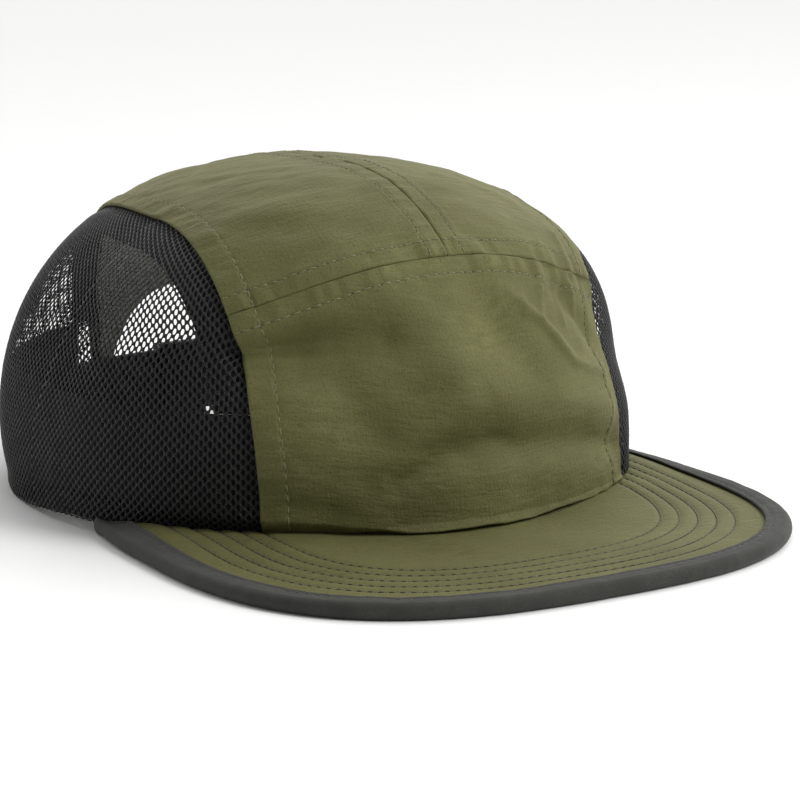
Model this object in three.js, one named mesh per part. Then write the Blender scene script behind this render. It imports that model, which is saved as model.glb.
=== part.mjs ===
import * as THREE from "three";
import { mergeVertices } from "three/addons/utils/BufferGeometryUtils.js";

// A soft cap with a flat brim: nylon front and top panels, net side panels, a bound brim,
// a sweatband and a strap over the opening at the back.
// Millimetres, +Z up. The brim points to -Y and +X is the wearer's left.
// A place on the crown is given by two angles: phi runs over the crown from the front hem (0) to
// the back hem (pi), and lam runs sideways from the middle (0) to the side hem (pi / 2).

// Crown, at its outer face
const crownHalfWidth = 90;
const crownHalfLength = 98.7;
const crownHeight = 93;
const peakForward = 14;
// How far the hem is drawn in, as shares of the half width and the half length. It fades upwards
// over hemPullFade.
const hemPull = { side: 0.0322, back: 0.0537, front: 0.0628 };
const hemPullFade = 14;
// The hem lies on the ground behind rearY and is carried up beside the brim before frontY.
const hemLift = { height: 2.6, rearY: 25, frontY: -25 };
// Powers of the rounded outlines: 2 is an ellipse, more is squarer.
const squareness = { hem: 2.08, top: 2.25, front: 2.77, back: 2.78 };

// Panels
const panelThickness = 1.2;
const netThickness = 1.1;
const gap = 0.3;
// The side seam's half widths at the front hem, over the top and at the back hem, as shares of
// crownHalfWidth.
const sideSeam = { frontHem: 0.628, top: 0.579, backHem: 0.339 };
// The seam across the crown: its height in the middle as a share of crownHeight, and how its
// angle bends towards the sides, in radians.
const frontSeam = { height: 0.783, dip: -0.059, rise: 0.073 };

// Brim and its binding
const brimReach = 61.3;
const brimHalfWidth = 85.1;
const brimWidestY = -72.3;
const brimRearDepth = 104.8;
const brimSquareness = 2.72;
const brimThickness = 2.2;
const brimTipWidth = 6;
const bindingWidth = 7;
const bindingThickness = 0.8;

// Inside
const bandHeight = 37;
const bandClearance = 0.8;
const bandThickness = 1.2;
const tapeWidth = 12;
const tapeThickness = 0.8;
const tapeOverPanel = 2;

// Opening at the back, its strap and its slide
const openingHeight = 44;
const openingMargin = 3;
const strapWidth = 20;
const strapThickness = 1.5;
const strapRise = 3;
const strapSeat = 12;
const slideLength = 14;
const slideWall = 1.6;
const slideClearance = 0.7;

// Facets of each piece, counted along it and across it or up it
const facets = {
  frontPanel: { along: 20, up: 12 },
  topPanel: { across: 10, along: 18 },
  sideNet: { along: 24, up: 9 },
  brim: { along: 48, across: 6 },
  binding: { along: 52 },
  sweatband: { along: 44, up: 5 },
  seamTape: { along: 26, across: 2 },
  backStrap: { along: 16, up: 1 },
};

// Soft dents and ridges of the crown. phi and lam place the middle, along and across are half
// lengths and depth is inward, all three as shares of the crown's height, and turn is in degrees
// from the sideways direction towards the back.
const folds = [
  { phi: 0.56, lam: 0.64, along: 0.42, across: 0.3, turn: 0, depth: 0.05 },
  { phi: 0.53, lam: -0.33, along: 0.36, across: 0.13, turn: 0, depth: 0.022 },
  { phi: 0.42, lam: -0.25, along: 0.2, across: 0.12, turn: 70, depth: 0.011 },
  { phi: 0.36, lam: -0.54, along: 0.22, across: 0.14, turn: 0, depth: -0.01 },
  { phi: 0.19, lam: -0.02, along: 0.36, across: 0.08, turn: 10, depth: 0.017 },
  { phi: 0.33, lam: 0.02, along: 0.4, across: 0.11, turn: 10, depth: -0.008 },
  { phi: 1.15, lam: 0.3, along: 0.3, across: 0.2, turn: 30, depth: 0.012 },
  { phi: 2.25, lam: -0.18, along: 0.3, across: 0.22, turn: -20, depth: 0.014 },
  { phi: 1.45, lam: -1.1, along: 0.35, across: 0.16, turn: 60, depth: 0.012 },
  { phi: 1.7, lam: 1.12, along: 0.34, across: 0.2, turn: 75, depth: 0.016 },
  { phi: 2.5, lam: 0.75, along: 0.24, across: 0.16, turn: -60, depth: 0.013 },
];

const brimStack = brimThickness + 2 * (gap + bindingThickness);
const brimFront = crownHalfLength + brimReach;

function signedPower(value, power) {
  return Math.sign(value) * Math.pow(Math.abs(value), power);
}

function smooth(value) {
  const t = Math.min(1, Math.max(0, value));
  return t * t * (3 - 2 * t);
}

// Finds where a function that rises from below zero to above zero crosses it.
function crossing(low, high, valueAt) {
  for (let step = 0; step < 40; step++) {
    const middle = (low + high) / 2;
    if (valueAt(middle) < 0) low = middle;
    else high = middle;
  }
  return (low + high) / 2;
}

// The crown without folds: a rounded box whose outlines are superellipses, pulled in at the hem.
function plainCrown(phi, lam) {
  const forward = Math.cos(phi);
  const up = Math.max(0, Math.sin(phi));
  const arc = forward > 0 ? squareness.front : squareness.back;
  const reach = crownHalfLength + (forward > 0 ? -peakForward : peakForward);
  const ring = squareness.hem + (squareness.top - squareness.hem) * up * up;
  const inward = Math.pow(Math.abs(Math.cos(lam)), 2 / ring);
  const x = crownHalfWidth * signedPower(Math.sin(lam), 2 / ring);
  const y = -(reach * signedPower(forward, 2 / arc) + peakForward) * inward;
  const z = crownHeight * Math.pow(up, 2 / arc) * inward;
  const end = y > 0 ? hemPull.back : hemPull.front;
  const pull = hemPull.side * (x / crownHalfWidth) ** 2 + end * (y / crownHalfLength) ** 2;
  const kept = 1 - pull * Math.exp(-Math.max(0, z - brimStack) / hemPullFade);
  const carried = smooth((hemLift.rearY - y) / (hemLift.rearY - hemLift.frontY));
  const lift = hemLift.height * carried * (1 - z / crownHeight);
  return new THREE.Vector3(x * kept, y * kept, z + lift);
}

// The outward direction of the wall, level at the hem so that the hem's edge stays flat.
function wallDirection(phi, lam) {
  const forward = Math.cos(phi);
  const up = Math.max(0, Math.sin(phi));
  const arc = forward > 0 ? squareness.front : squareness.back;
  const reach = crownHalfLength + (forward > 0 ? -peakForward : peakForward);
  const ring = squareness.hem + (squareness.top - squareness.hem) * up * up;
  const inward = Math.pow(Math.abs(Math.cos(lam)), 2 - 2 / ring);
  const level = smooth(plainCrown(phi, lam).z / hemPullFade);
  return new THREE.Vector3(
    signedPower(Math.sin(lam), 2 - 2 / ring) / crownHalfWidth,
    (-inward * signedPower(forward, 2 - 2 / arc)) / reach,
    (level * inward * Math.pow(up, 2 - 2 / arc)) / crownHeight,
  ).normalize();
}

function foldDepth(phi, lam) {
  let depth = 0;
  for (const fold of folds) {
    const sideways = ((lam - fold.lam) * crownHalfWidth) / crownHeight;
    const back = phi - fold.phi;
    const turn = THREE.MathUtils.degToRad(fold.turn);
    const along = sideways * Math.cos(turn) + back * Math.sin(turn);
    const across = back * Math.cos(turn) - sideways * Math.sin(turn);
    const far = (along / fold.along) ** 2 + (across / fold.across) ** 2;
    depth += fold.depth * crownHeight * Math.exp(-far);
  }
  return depth;
}

// A point of the crown, set in from its outer face along the wall's direction.
function crownPoint(phi, lam, inset = 0) {
  const point = plainCrown(phi, lam);
  const clear = smooth((point.z - brimStack) / (2 * hemPullFade));
  const depth = inset + clear * foldDepth(phi, lam);
  return point.addScaledVector(wallDirection(phi, lam), -depth);
}

// Angles of a place at one level: tau runs round the crown from the front (0) to the back (pi),
// to the wearer's left where it is positive. Levels stop short of the crown's top.
const highestRise = 0.98;

function levelPlace(tau, height) {
  const placeAt = (rise) => {
    const along = Math.sqrt(1 - rise * rise) * Math.cos(tau);
    const phi = rise === 0 ? (along < 0 ? Math.PI : 0) : Math.atan2(rise, along);
    const lam = Math.acos(Math.min(1, Math.hypot(along, rise)));
    return { phi, lam: tau < 0 ? -lam : lam };
  };
  if (height <= 0) return placeAt(0);
  const rise = crossing(0, highestRise, (value) => {
    const place = placeAt(value);
    return plainCrown(place.phi, place.lam).z - height;
  });
  return placeAt(rise);
}

// Spreads rows evenly along the crown's arc, which the powers would bunch up.
function evenPhi(angle) {
  const arc = Math.cos(angle) > 0 ? squareness.front : squareness.back;
  return Math.atan2(
    Math.pow(Math.max(0, Math.sin(angle)), arc / 2),
    signedPower(Math.cos(angle), arc / 2),
  );
}

function angleOf(phi) {
  const arc = Math.cos(phi) > 0 ? squareness.front : squareness.back;
  return Math.atan2(
    Math.pow(Math.max(0, Math.sin(phi)), 2 / arc),
    signedPower(Math.cos(phi), 2 / arc),
  );
}

function phiBetween(from, to, share) {
  return evenPhi(THREE.MathUtils.lerp(angleOf(from), angleOf(to), share));
}

// The side seam, from its three half widths.
function lamAtShare(share, power) {
  return Math.asin(Math.pow(share, power / 2));
}
const seamFront = lamAtShare(sideSeam.frontHem, squareness.hem);
const seamTop = lamAtShare(sideSeam.top, squareness.top);
const seamBack = lamAtShare(sideSeam.backHem, squareness.hem);

function sideSeamLam(phi) {
  const mean = (seamFront + seamBack + 2 * seamTop) / 4;
  const slant = (seamFront - seamBack) / 2;
  const waist = (seamFront + seamBack - 2 * seamTop) / 4;
  return mean + slant * Math.cos(phi) + waist * Math.cos(2 * phi);
}

// A distance in millimetres sideways on the crown, as a change of lam.
function lamOver(distance, phi, lam) {
  const step = 0.001;
  const run = plainCrown(phi, lam + step).distanceTo(plainCrown(phi, lam - step));
  return (distance * 2 * step) / run;
}

function seamLam(phi, shift) {
  const lam = sideSeamLam(phi);
  return lam + lamOver(shift, phi, lam);
}

// The seam across the crown, where the front panel meets the top panels. t runs from -1 to 1
// between the side seams.
function frontSeamPhi(t) {
  const middle = Math.asin(Math.pow(frontSeam.height, squareness.front / 2));
  return middle + frontSeam.dip * t ** 2 + frontSeam.rise * t ** 4;
}

const openingHalfWidth =
  plainCrown(Math.PI, sideSeamLam(Math.PI)).x - openingMargin;

// The back end of a top panel: the arch over the opening, and the hem beside it. The arch stays
// behind the crown's top.
const highestClimb = 1.37;

function panelEndPhi(t) {
  const climb = crossing(0, highestClimb, (angle) => {
    const phi = Math.PI - angle;
    const point = plainCrown(phi, t * sideSeamLam(phi));
    const share = Math.min(1, Math.abs(point.x) / openingHalfWidth);
    return point.z - openingHeight * Math.sqrt(1 - share * share) - 1e-6;
  });
  return Math.PI - climb;
}

// Closes two matching grids of points into one solid with walls along its four edges.
function sheetSolid(outer, inner) {
  const rows = outer.length;
  const columns = outer[0].length;
  const points = [...outer.flat(), ...inner.flat()];
  const at = (side, i, j) => side * rows * columns + i * columns + j;
  const faces = [];
  const quad = (a, b, c, d) => faces.push(a, b, c, a, c, d);
  for (let i = 0; i < rows - 1; i++)
    for (let j = 0; j < columns - 1; j++) {
      quad(at(0, i, j), at(0, i + 1, j), at(0, i + 1, j + 1), at(0, i, j + 1));
      quad(at(1, i, j), at(1, i, j + 1), at(1, i + 1, j + 1), at(1, i + 1, j));
    }
  for (let i = 0; i < rows - 1; i++) {
    const last = columns - 1;
    quad(at(0, i, 0), at(1, i, 0), at(1, i + 1, 0), at(0, i + 1, 0));
    quad(at(0, i + 1, last), at(1, i + 1, last), at(1, i, last), at(0, i, last));
  }
  for (let j = 0; j < columns - 1; j++) {
    const last = rows - 1;
    quad(at(0, 0, j + 1), at(1, 0, j + 1), at(1, 0, j), at(0, 0, j));
    quad(at(0, last, j), at(1, last, j), at(1, last, j + 1), at(0, last, j + 1));
  }
  return closedGeometry(points, faces);
}

// Joins equal closed sections into one solid and caps its two ends.
function loftSolid(sections, profile) {
  const sides = profile.length;
  const faces = [];
  for (let i = 0; i < sections.length - 1; i++)
    for (let j = 0; j < sides; j++) {
      const a = i * sides + j;
      const b = i * sides + ((j + 1) % sides);
      faces.push(a, b, b + sides, a, b + sides, a + sides);
    }
  const last = (sections.length - 1) * sides;
  for (const [a, b, c] of THREE.ShapeUtils.triangulateShape(profile, [])) {
    faces.push(c, b, a);
    faces.push(last + a, last + b, last + c);
  }
  return closedGeometry(sections.flat(), faces);
}

// Merges shared points, drops faces that have shrunk to a line and turns the rest outwards.
function closedGeometry(points, faces) {
  const raw = new THREE.BufferGeometry().setFromPoints(points);
  raw.setIndex(faces);
  const merged = mergeVertices(raw, 1e-3);
  const place = merged.attributes.position;
  const corner = (i) => new THREE.Vector3().fromBufferAttribute(place, i);
  const index = merged.index.array;
  const kept = [];
  let volume = 0;
  for (let k = 0; k < index.length; k += 3) {
    const [a, b, c] = [index[k], index[k + 1], index[k + 2]];
    if (a === b || b === c || c === a) continue;
    kept.push(a, b, c);
    volume += corner(a).dot(corner(b).cross(corner(c)));
  }
  if (volume < 0) kept.reverse();
  merged.setIndex(kept);
  merged.computeVertexNormals();
  return merged;
}

function grid(rows, columns, pointAt) {
  return Array.from({ length: rows + 1 }, (_, i) =>
    Array.from({ length: columns + 1 }, (_, j) => pointAt(i / rows, j / columns)),
  );
}

// A wall between two depths under the crown's outer face, from a grid of places.
function wallSolid(rows, columns, placeAt, from, to) {
  const sheet = (inset) =>
    grid(rows, columns, (u, v) => {
      const place = placeAt(u, v);
      return crownPoint(place.phi, place.lam, inset);
    });
  return sheetSolid(sheet(from), sheet(to));
}

// Rows up a wall that stands beside the brim: the first one ends level with the brim's top.
function rowsFromBrim(v, rows, brimShare) {
  const row = v * rows;
  if (row <= 1) return brimShare * row;
  return THREE.MathUtils.lerp(brimShare, 1, (row - 1) / (rows - 1));
}

function frontPanel() {
  const { along, up } = facets.frontPanel;
  const levelPhi = (lam) => crossing(0, 1, (phi) => plainCrown(phi, lam).z - brimStack);
  const placeAt = (u, v) => {
    const t = 2 * u - 1;
    const end = frontSeamPhi(t) - gap / 2 / crownHeight;
    const level = angleOf(levelPhi(t * seamFront)) / angleOf(end);
    const phi = phiBetween(0, end, rowsFromBrim(v, up, level));
    return { phi, lam: t * seamLam(phi, -gap / 2) };
  };
  return wallSolid(along, up, placeAt, 0, panelThickness);
}

// A top panel. All its columns but the last end on the arch over the opening.
function topPanel(side) {
  const { across, along } = facets.topPanel;
  const foot = openingHalfWidth / (openingHalfWidth + openingMargin);
  const placeAt = (u, v) => {
    const column = Math.round(u * across);
    const spread = foot * Math.sin((column / (across - 1)) * (Math.PI / 2));
    const t = column === across ? 1 : spread;
    const start = frontSeamPhi(t) + gap / 2 / crownHeight;
    const phi = phiBetween(start, panelEndPhi(t), v);
    const inner = lamOver(gap / 2, phi, 0);
    return { phi, lam: side * (inner + t * (seamLam(phi, -gap / 2) - inner)) };
  };
  return wallSolid(across, along, placeAt, 0, panelThickness);
}

// A net panel: its columns rise from the hem to the side seam.
function sideNet(side) {
  const { along: columns, up: rows } = facets.sideNet;
  const columnPlace = (along, rise) => {
    const phi = rise < 1e-9 ? (along < 0 ? Math.PI : 0) : Math.atan2(rise, along);
    return { phi, lam: side * Math.acos(Math.hypot(along, rise)) };
  };
  const placeAt = (u, v) => {
    const seamPhi = evenPhi(Math.PI * u);
    const seamInward = Math.cos(seamLam(seamPhi, gap / 2));
    const along = seamInward * Math.cos(seamPhi);
    const top = seamInward * Math.max(0, Math.sin(seamPhi));
    const level = crossing(0, 1, (share) => {
      const place = columnPlace(along, share * top);
      return plainCrown(place.phi, place.lam).z - brimStack;
    });
    return columnPlace(along, top * rowsFromBrim(v, rows, Math.min(level, 1 / rows)));
  };
  return wallSolid(columns, rows, placeAt, 0, netThickness);
}

// The brim's outline: a superellipse that is deeper behind its widest line than before it.
function brimEdge(angle) {
  const power = 2 / brimSquareness;
  const across = Math.sin(angle);
  const along = Math.cos(angle);
  const depth = along > 0 ? brimFront + brimWidestY : brimRearDepth;
  return new THREE.Vector2(
    brimHalfWidth * signedPower(across, power),
    brimWidestY - depth * signedPower(along, power),
  );
}

// The brim's outline runs from the middle of its front (0) round to where it meets the crown.
function crownSideAt(y) {
  const tau = crossing(0, Math.PI, (value) => {
    const place = levelPlace(value, 0);
    return plainCrown(place.phi, place.lam).y - y;
  });
  const place = levelPlace(tau, 0);
  return { tau, x: plainCrown(place.phi, place.lam).x };
}
const furthestBack = Math.PI * 0.95;
const brimEndAngle = crossing(Math.PI / 2, furthestBack, (angle) => {
  const edge = brimEdge(angle);
  return crownSideAt(edge.y).x + gap + brimTipWidth - edge.x;
});
const brimEndTau = crownSideAt(brimEdge(brimEndAngle).y).tau;

function brimFrame(u) {
  const angle = u * brimEndAngle;
  const step = 0.002;
  const edge = brimEdge(angle);
  const ahead = brimEdge(angle + step).sub(brimEdge(angle - step)).normalize();
  const inward = new THREE.Vector2(-ahead.y, ahead.x);
  const place = levelPlace(u * brimEndTau, 0);
  const root = crownPoint(place.phi, place.lam, -gap);
  return { edge, inward, root };
}

function brimPlate() {
  const low = bindingThickness + gap;
  const inset = bindingThickness + gap;
  const sheet = (z) =>
    grid(facets.brim.along, facets.brim.across, (u, v) => {
      const { edge, inward, root } = brimFrame(2 * u - 1);
      const x = THREE.MathUtils.lerp(root.x, edge.x + inward.x * inset, v);
      const y = THREE.MathUtils.lerp(root.y, edge.y + inward.y * inset, v);
      return new THREE.Vector3(x, y, z);
    });
  return sheetSolid(sheet(low + brimThickness), sheet(low));
}

// The binding's section: a U that wraps the brim's edge, inward and up from the outer edge. Its
// nose is half an ellipse, as deep as noseDepth and cut at the shares in noseLevels.
const noseDepth = 1.5;
const noseLevels = [1, 0.75, 0, -0.75, -1];

function bindingProfile(width) {
  const wall = bindingThickness;
  const nose = noseLevels.map((level) => [
    noseDepth * (1 - Math.sqrt(1 - level * level)),
    (brimStack / 2) * (1 + level),
  ]);
  return [
    [width, brimStack],
    ...nose,
    [width, 0],
    [width, wall],
    [wall, wall],
    [wall, brimStack - wall],
    [width, brimStack - wall],
  ].map(([inward, up]) => new THREE.Vector2(inward, up));
}

function brimBinding() {
  const sections = [];
  const steps = facets.binding.along;
  for (let k = 0; k <= steps; k++) {
    const { edge, inward, root } = brimFrame((2 * k) / steps - 1);
    const room = Math.hypot(root.x - edge.x, root.y - edge.y);
    const width = Math.min(bindingWidth, room - gap);
    sections.push(
      bindingProfile(width).map(
        (p) => new THREE.Vector3(edge.x + inward.x * p.x, edge.y + inward.y * p.x, p.y),
      ),
    );
  }
  return loftSolid(sections, bindingProfile(bindingWidth));
}

// Where the hem is a given distance from the middle plane, behind the crown's widest line.
function hemTau(halfWidth) {
  return crossing(Math.PI / 2, Math.PI, (tau) => {
    const place = levelPlace(tau, 0);
    return halfWidth - plainCrown(place.phi, place.lam).x;
  });
}
const strapEndTau = hemTau(openingHalfWidth + strapSeat);
const bandEndTau = hemTau(openingHalfWidth + strapSeat + gap);
const wallDepth = Math.max(panelThickness, netThickness) + bandClearance;

function sweatband() {
  const { along, up } = facets.sweatband;
  const placeAt = (u, v) => {
    const height = bandHeight * rowsFromBrim(v, up, brimStack / bandHeight);
    return levelPlace((2 * u - 1) * bandEndTau, height);
  };
  return wallSolid(along, up, placeAt, wallDepth, wallDepth + bandThickness);
}

// A tape inside each side seam, over the seam's edge and down to the sweatband at both ends.
function seamTape(side) {
  const { along, across } = facets.seamTape;
  const clearOfBand = bandHeight + gap;
  const heightAt = (phi) => plainCrown(phi, seamLam(phi, tapeWidth - tapeOverPanel)).z;
  const start = crossing(0, Math.PI / 2, (phi) => heightAt(phi) - clearOfBand);
  const climb = crossing(0, Math.PI / 2, (angle) => heightAt(Math.PI - angle) - clearOfBand);
  const end = Math.PI - climb;
  const placeAt = (u, v) => {
    const phi = phiBetween(start, end, u);
    return { phi, lam: side * seamLam(phi, v * tapeWidth - tapeOverPanel) };
  };
  return wallSolid(along, across, placeAt, wallDepth, wallDepth + tapeThickness);
}

function backStrap() {
  const { along, up } = facets.backStrap;
  const placeAt = (u, v) => {
    const offset = (2 * u - 1) * (Math.PI - strapEndTau);
    const tau = offset < 0 ? Math.PI + offset : offset - Math.PI;
    return levelPlace(tau, strapRise + v * strapWidth);
  };
  return wallSolid(along, up, placeAt, wallDepth, wallDepth + strapThickness);
}

// A slide that the strap runs through, in the middle of the back.
function strapSlide() {
  const strapAt = (height) => {
    const place = levelPlace(Math.PI, strapRise + height);
    return crownPoint(place.phi, place.lam, wallDepth + strapThickness / 2);
  };
  const [low, high] = [strapAt(0), strapAt(strapWidth)];
  const strapMiddle = low.clone().lerp(high, 0.5);
  const lean = Math.atan2(high.y - low.y, high.z - low.z);
  const slot = [strapThickness / 2 + slideClearance, strapWidth / 2 + slideClearance];
  const rectangle = (path, halfY, halfZ) => {
    path.moveTo(-halfZ, -halfY).lineTo(halfZ, -halfY).lineTo(halfZ, halfY);
    return path.lineTo(-halfZ, halfY).closePath();
  };
  const shape = rectangle(new THREE.Shape(), slot[0] + slideWall, slot[1] + slideWall);
  shape.holes.push(rectangle(new THREE.Path(), slot[0], slot[1]));
  const body = new THREE.ExtrudeGeometry(shape, { depth: slideLength, bevelEnabled: false });
  body.deleteAttribute("normal").deleteAttribute("uv");
  body.translate(0, 0, -slideLength / 2).rotateY(Math.PI / 2).rotateX(-lean);
  body.translate(strapMiddle.x, strapMiddle.y, strapMiddle.z);
  return mergeVertices(body, 1e-4);
}

const nylon = new THREE.MeshStandardMaterial({ color: 0x6b6b48, roughness: 0.7 });
const net = new THREE.MeshStandardMaterial({ color: 0x2b2b2b, roughness: 0.75 });
const tape = new THREE.MeshStandardMaterial({ color: 0x3a3a37, roughness: 0.8 });
const band = new THREE.MeshStandardMaterial({ color: 0x1c1c1c, roughness: 0.9 });
const plastic = new THREE.MeshStandardMaterial({ color: 0x161616, roughness: 0.45 });

const cap = new THREE.Group();

function add(name, geometry, material) {
  const mesh = new THREE.Mesh(geometry, material);
  mesh.name = name;
  cap.add(mesh);
}

add("front_panel", frontPanel(), nylon);
for (const [word, side] of [["left", 1], ["right", -1]]) {
  add(`top_panel_${word}`, topPanel(side), nylon);
  add(`side_net_${word}`, sideNet(side), net);
  add(`seam_tape_${word}`, seamTape(side), band);
}
add("brim", brimPlate(), nylon);
add("brim_binding", brimBinding(), tape);
add("sweatband", sweatband(), band);
add("back_strap", backStrap(), tape);
add("strap_slide", strapSlide(), plastic);

// The origin lies under the middle of the whole cap, on the surface that it rests on.
const box = new THREE.Box3().setFromObject(cap);
const middle = box.getCenter(new THREE.Vector3());
cap.position.set(-middle.x, -middle.y, -box.min.z);

export default cap;
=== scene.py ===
import bpy
import bmesh
import math
import mathutils
import numpy as np
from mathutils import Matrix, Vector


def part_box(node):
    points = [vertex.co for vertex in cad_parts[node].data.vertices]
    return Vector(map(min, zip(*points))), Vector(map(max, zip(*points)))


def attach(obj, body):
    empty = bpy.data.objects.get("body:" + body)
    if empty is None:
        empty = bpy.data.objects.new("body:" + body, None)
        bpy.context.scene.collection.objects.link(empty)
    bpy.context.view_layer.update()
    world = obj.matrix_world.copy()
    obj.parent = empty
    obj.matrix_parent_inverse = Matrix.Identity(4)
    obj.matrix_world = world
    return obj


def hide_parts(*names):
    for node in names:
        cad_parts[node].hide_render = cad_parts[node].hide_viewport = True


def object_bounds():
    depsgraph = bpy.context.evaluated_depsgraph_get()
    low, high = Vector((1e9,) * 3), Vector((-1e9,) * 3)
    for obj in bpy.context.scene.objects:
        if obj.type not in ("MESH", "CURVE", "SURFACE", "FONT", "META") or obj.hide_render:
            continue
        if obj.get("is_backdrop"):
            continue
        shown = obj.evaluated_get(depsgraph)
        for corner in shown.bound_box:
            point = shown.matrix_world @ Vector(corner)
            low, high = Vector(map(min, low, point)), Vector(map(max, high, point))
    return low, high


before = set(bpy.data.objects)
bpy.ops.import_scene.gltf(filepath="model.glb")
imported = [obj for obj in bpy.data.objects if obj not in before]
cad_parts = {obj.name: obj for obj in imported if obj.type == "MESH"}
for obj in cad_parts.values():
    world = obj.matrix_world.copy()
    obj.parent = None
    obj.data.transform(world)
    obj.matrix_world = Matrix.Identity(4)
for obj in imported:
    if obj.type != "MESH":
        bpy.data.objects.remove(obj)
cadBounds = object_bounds()
print("stage: frame loaded")

# A soft cap with a flat brim, dressed in nylon, net, tape and thread.
# Shapes are worked out in millimetres in the crown's own frame: the brim points to -Y and +X is
# the wearer's left. A place on the crown is two angles: phi runs over it from the front hem (0)
# to the back hem (pi), and lam sideways from the middle (0) to the side hem (pi / 2).

crown = {
    "halfWidth": 90, "halfLength": 98.7, "height": 93, "peakForward": 14,
    "hemSquareness": 2.08, "topSquareness": 2.25, "frontSquareness": 2.77, "backSquareness": 2.78,
    "sidePull": 0.0322, "backPull": 0.0537, "frontPull": 0.0628, "pullFade": 14,
    "hemLift": 2.6, "liftRearY": 25, "liftFrontY": -25,
}
brim = {
    "reach": 61.3, "halfWidth": 85.1, "widestY": -72.3, "rearDepth": 104.8, "squareness": 2.72,
    "under": 1.1, "top": 3.3, "stack": 4.4,
}
gap = 0.3  # between touching pieces
wallDepth = 2.0  # from the crown's outer face to the sweatband
brimFront = crown["halfLength"] + brim["reach"]
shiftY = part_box("brim_binding")[0].y * 1000 + brimFront  # from the crown's frame to the shared one

# Soft dents and ridges: phi, lam, half length and half width as shares of the crown's height,
# turn in degrees from the sideways direction towards the back, and depth inward as a share too.
softFolds = [
    (0.56, 0.64, 0.42, 0.30, 0, 0.050), (0.53, -0.33, 0.36, 0.13, 0, 0.022),
    (0.42, -0.25, 0.20, 0.12, 70, 0.011), (0.36, -0.54, 0.22, 0.14, 0, -0.010),
    (0.19, -0.02, 0.36, 0.08, 10, 0.017), (0.33, 0.02, 0.40, 0.11, 10, -0.008),
    (1.15, 0.30, 0.30, 0.20, 30, 0.012), (2.25, -0.18, 0.30, 0.22, -20, 0.014),
    (1.45, -1.10, 0.35, 0.16, 60, 0.012), (1.70, 1.12, 0.34, 0.20, 75, 0.016),
    (2.50, 0.75, 0.24, 0.16, -60, 0.013),
]


# Three t squared less two t cubed, with t held between 0 and 1.
def smooth(value):
    t = np.clip(value, 0, 1)
    return t * t * (3 - 2 * t)


# The size raised to a power, with the sign kept.
def signedPower(value, power):
    return np.sign(value) * np.abs(value) ** power


# Halves a range again and again to find where a rising function crosses zero.
def crossing(low, high, valueAt):
    low, high = np.array(low, float), np.array(high, float)
    for step in range(40):
        middle = (low + high) / 2
        below = valueAt(middle) < 0
        low, high = np.where(below, middle, low), np.where(below, high, middle)
    return (low + high) / 2


# Smooth random heights from -1 to 1: random values on a unit grid, blended between its corners.
def softNoise(u, v, seed):
    size = 128
    table = np.random.default_rng(seed).uniform(-1, 1, (size, size))
    u, v = np.broadcast_arrays(np.asarray(u, float), np.asarray(v, float))
    cellU, cellV = np.floor(u).astype(int), np.floor(v).astype(int)
    blendU, blendV = smooth(u - cellU), smooth(v - cellV)
    corner = lambda du, dv: table[(cellU + du) % size, (cellV + dv) % size]
    near = corner(0, 0) * (1 - blendU) + corner(1, 0) * blendU
    far = corner(0, 1) * (1 - blendU) + corner(1, 1) * blendU
    return near * (1 - blendV) + far * blendV


# Squareness and reach of the crown's outlines at each place.
def crownOutline(phi):
    forward, up = np.cos(phi), np.maximum(0, np.sin(phi))
    front = forward > 0
    arc = np.where(front, crown["frontSquareness"], crown["backSquareness"])
    reach = crown["halfLength"] + np.where(front, -1, 1) * crown["peakForward"]
    ring = crown["hemSquareness"] + (crown["topSquareness"] - crown["hemSquareness"]) * up * up
    return forward, up, arc, reach, ring


# A rounded box whose outlines are superellipses, drawn in at the hem and carried up by the brim.
def crownPlain(phi, lam):
    phi, lam = np.broadcast_arrays(np.asarray(phi, float), np.asarray(lam, float))
    forward, up, arc, reach, ring = crownOutline(phi)
    inward = np.abs(np.cos(lam)) ** (2 / ring)
    x = crown["halfWidth"] * signedPower(np.sin(lam), 2 / ring)
    y = -(reach * signedPower(forward, 2 / arc) + crown["peakForward"]) * inward
    z = crown["height"] * up ** (2 / arc) * inward
    end = np.where(y > 0, crown["backPull"], crown["frontPull"])
    pull = (crown["sidePull"] * (x / crown["halfWidth"]) ** 2
            + end * (y / crown["halfLength"]) ** 2)
    kept = 1 - pull * np.exp(-np.maximum(0, z - brim["stack"]) / crown["pullFade"])
    carried = smooth((crown["liftRearY"] - y) / (crown["liftRearY"] - crown["liftFrontY"]))
    lift = crown["hemLift"] * carried * (1 - z / crown["height"])
    return np.stack([x * kept, y * kept, z + lift], -1)


# The outward direction of that rounded box, turned level at the hem.
def crownOutward(phi, lam):
    phi, lam = np.broadcast_arrays(np.asarray(phi, float), np.asarray(lam, float))
    forward, up, arc, reach, ring = crownOutline(phi)
    inward = np.abs(np.cos(lam)) ** (2 - 2 / ring)
    level = smooth(crownPlain(phi, lam)[..., 2] / crown["pullFade"])
    outward = np.stack([
        signedPower(np.sin(lam), 2 - 2 / ring) / crown["halfWidth"],
        -inward * signedPower(forward, 2 - 2 / arc) / reach,
        level * inward * up ** (2 - 2 / arc) / crown["height"],
    ], -1)
    return outward / np.linalg.norm(outward, axis=-1, keepdims=True)


# The sum of the soft folds: round hills with a Gaussian fall, each turned and stretched.
def foldDepth(phi, lam):
    depth = 0
    for foldPhi, foldLam, halfLength, halfBreadth, turn, share in softFolds:
        sideways = (lam - foldLam) * crown["halfWidth"] / crown["height"]
        back = phi - foldPhi
        c, s = math.cos(math.radians(turn)), math.sin(math.radians(turn))
        far = (((sideways * c + back * s) / halfLength) ** 2
               + ((back * c - sideways * s) / halfBreadth) ** 2)
        depth = depth + share * crown["height"] * np.exp(-far)
    return depth


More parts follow.
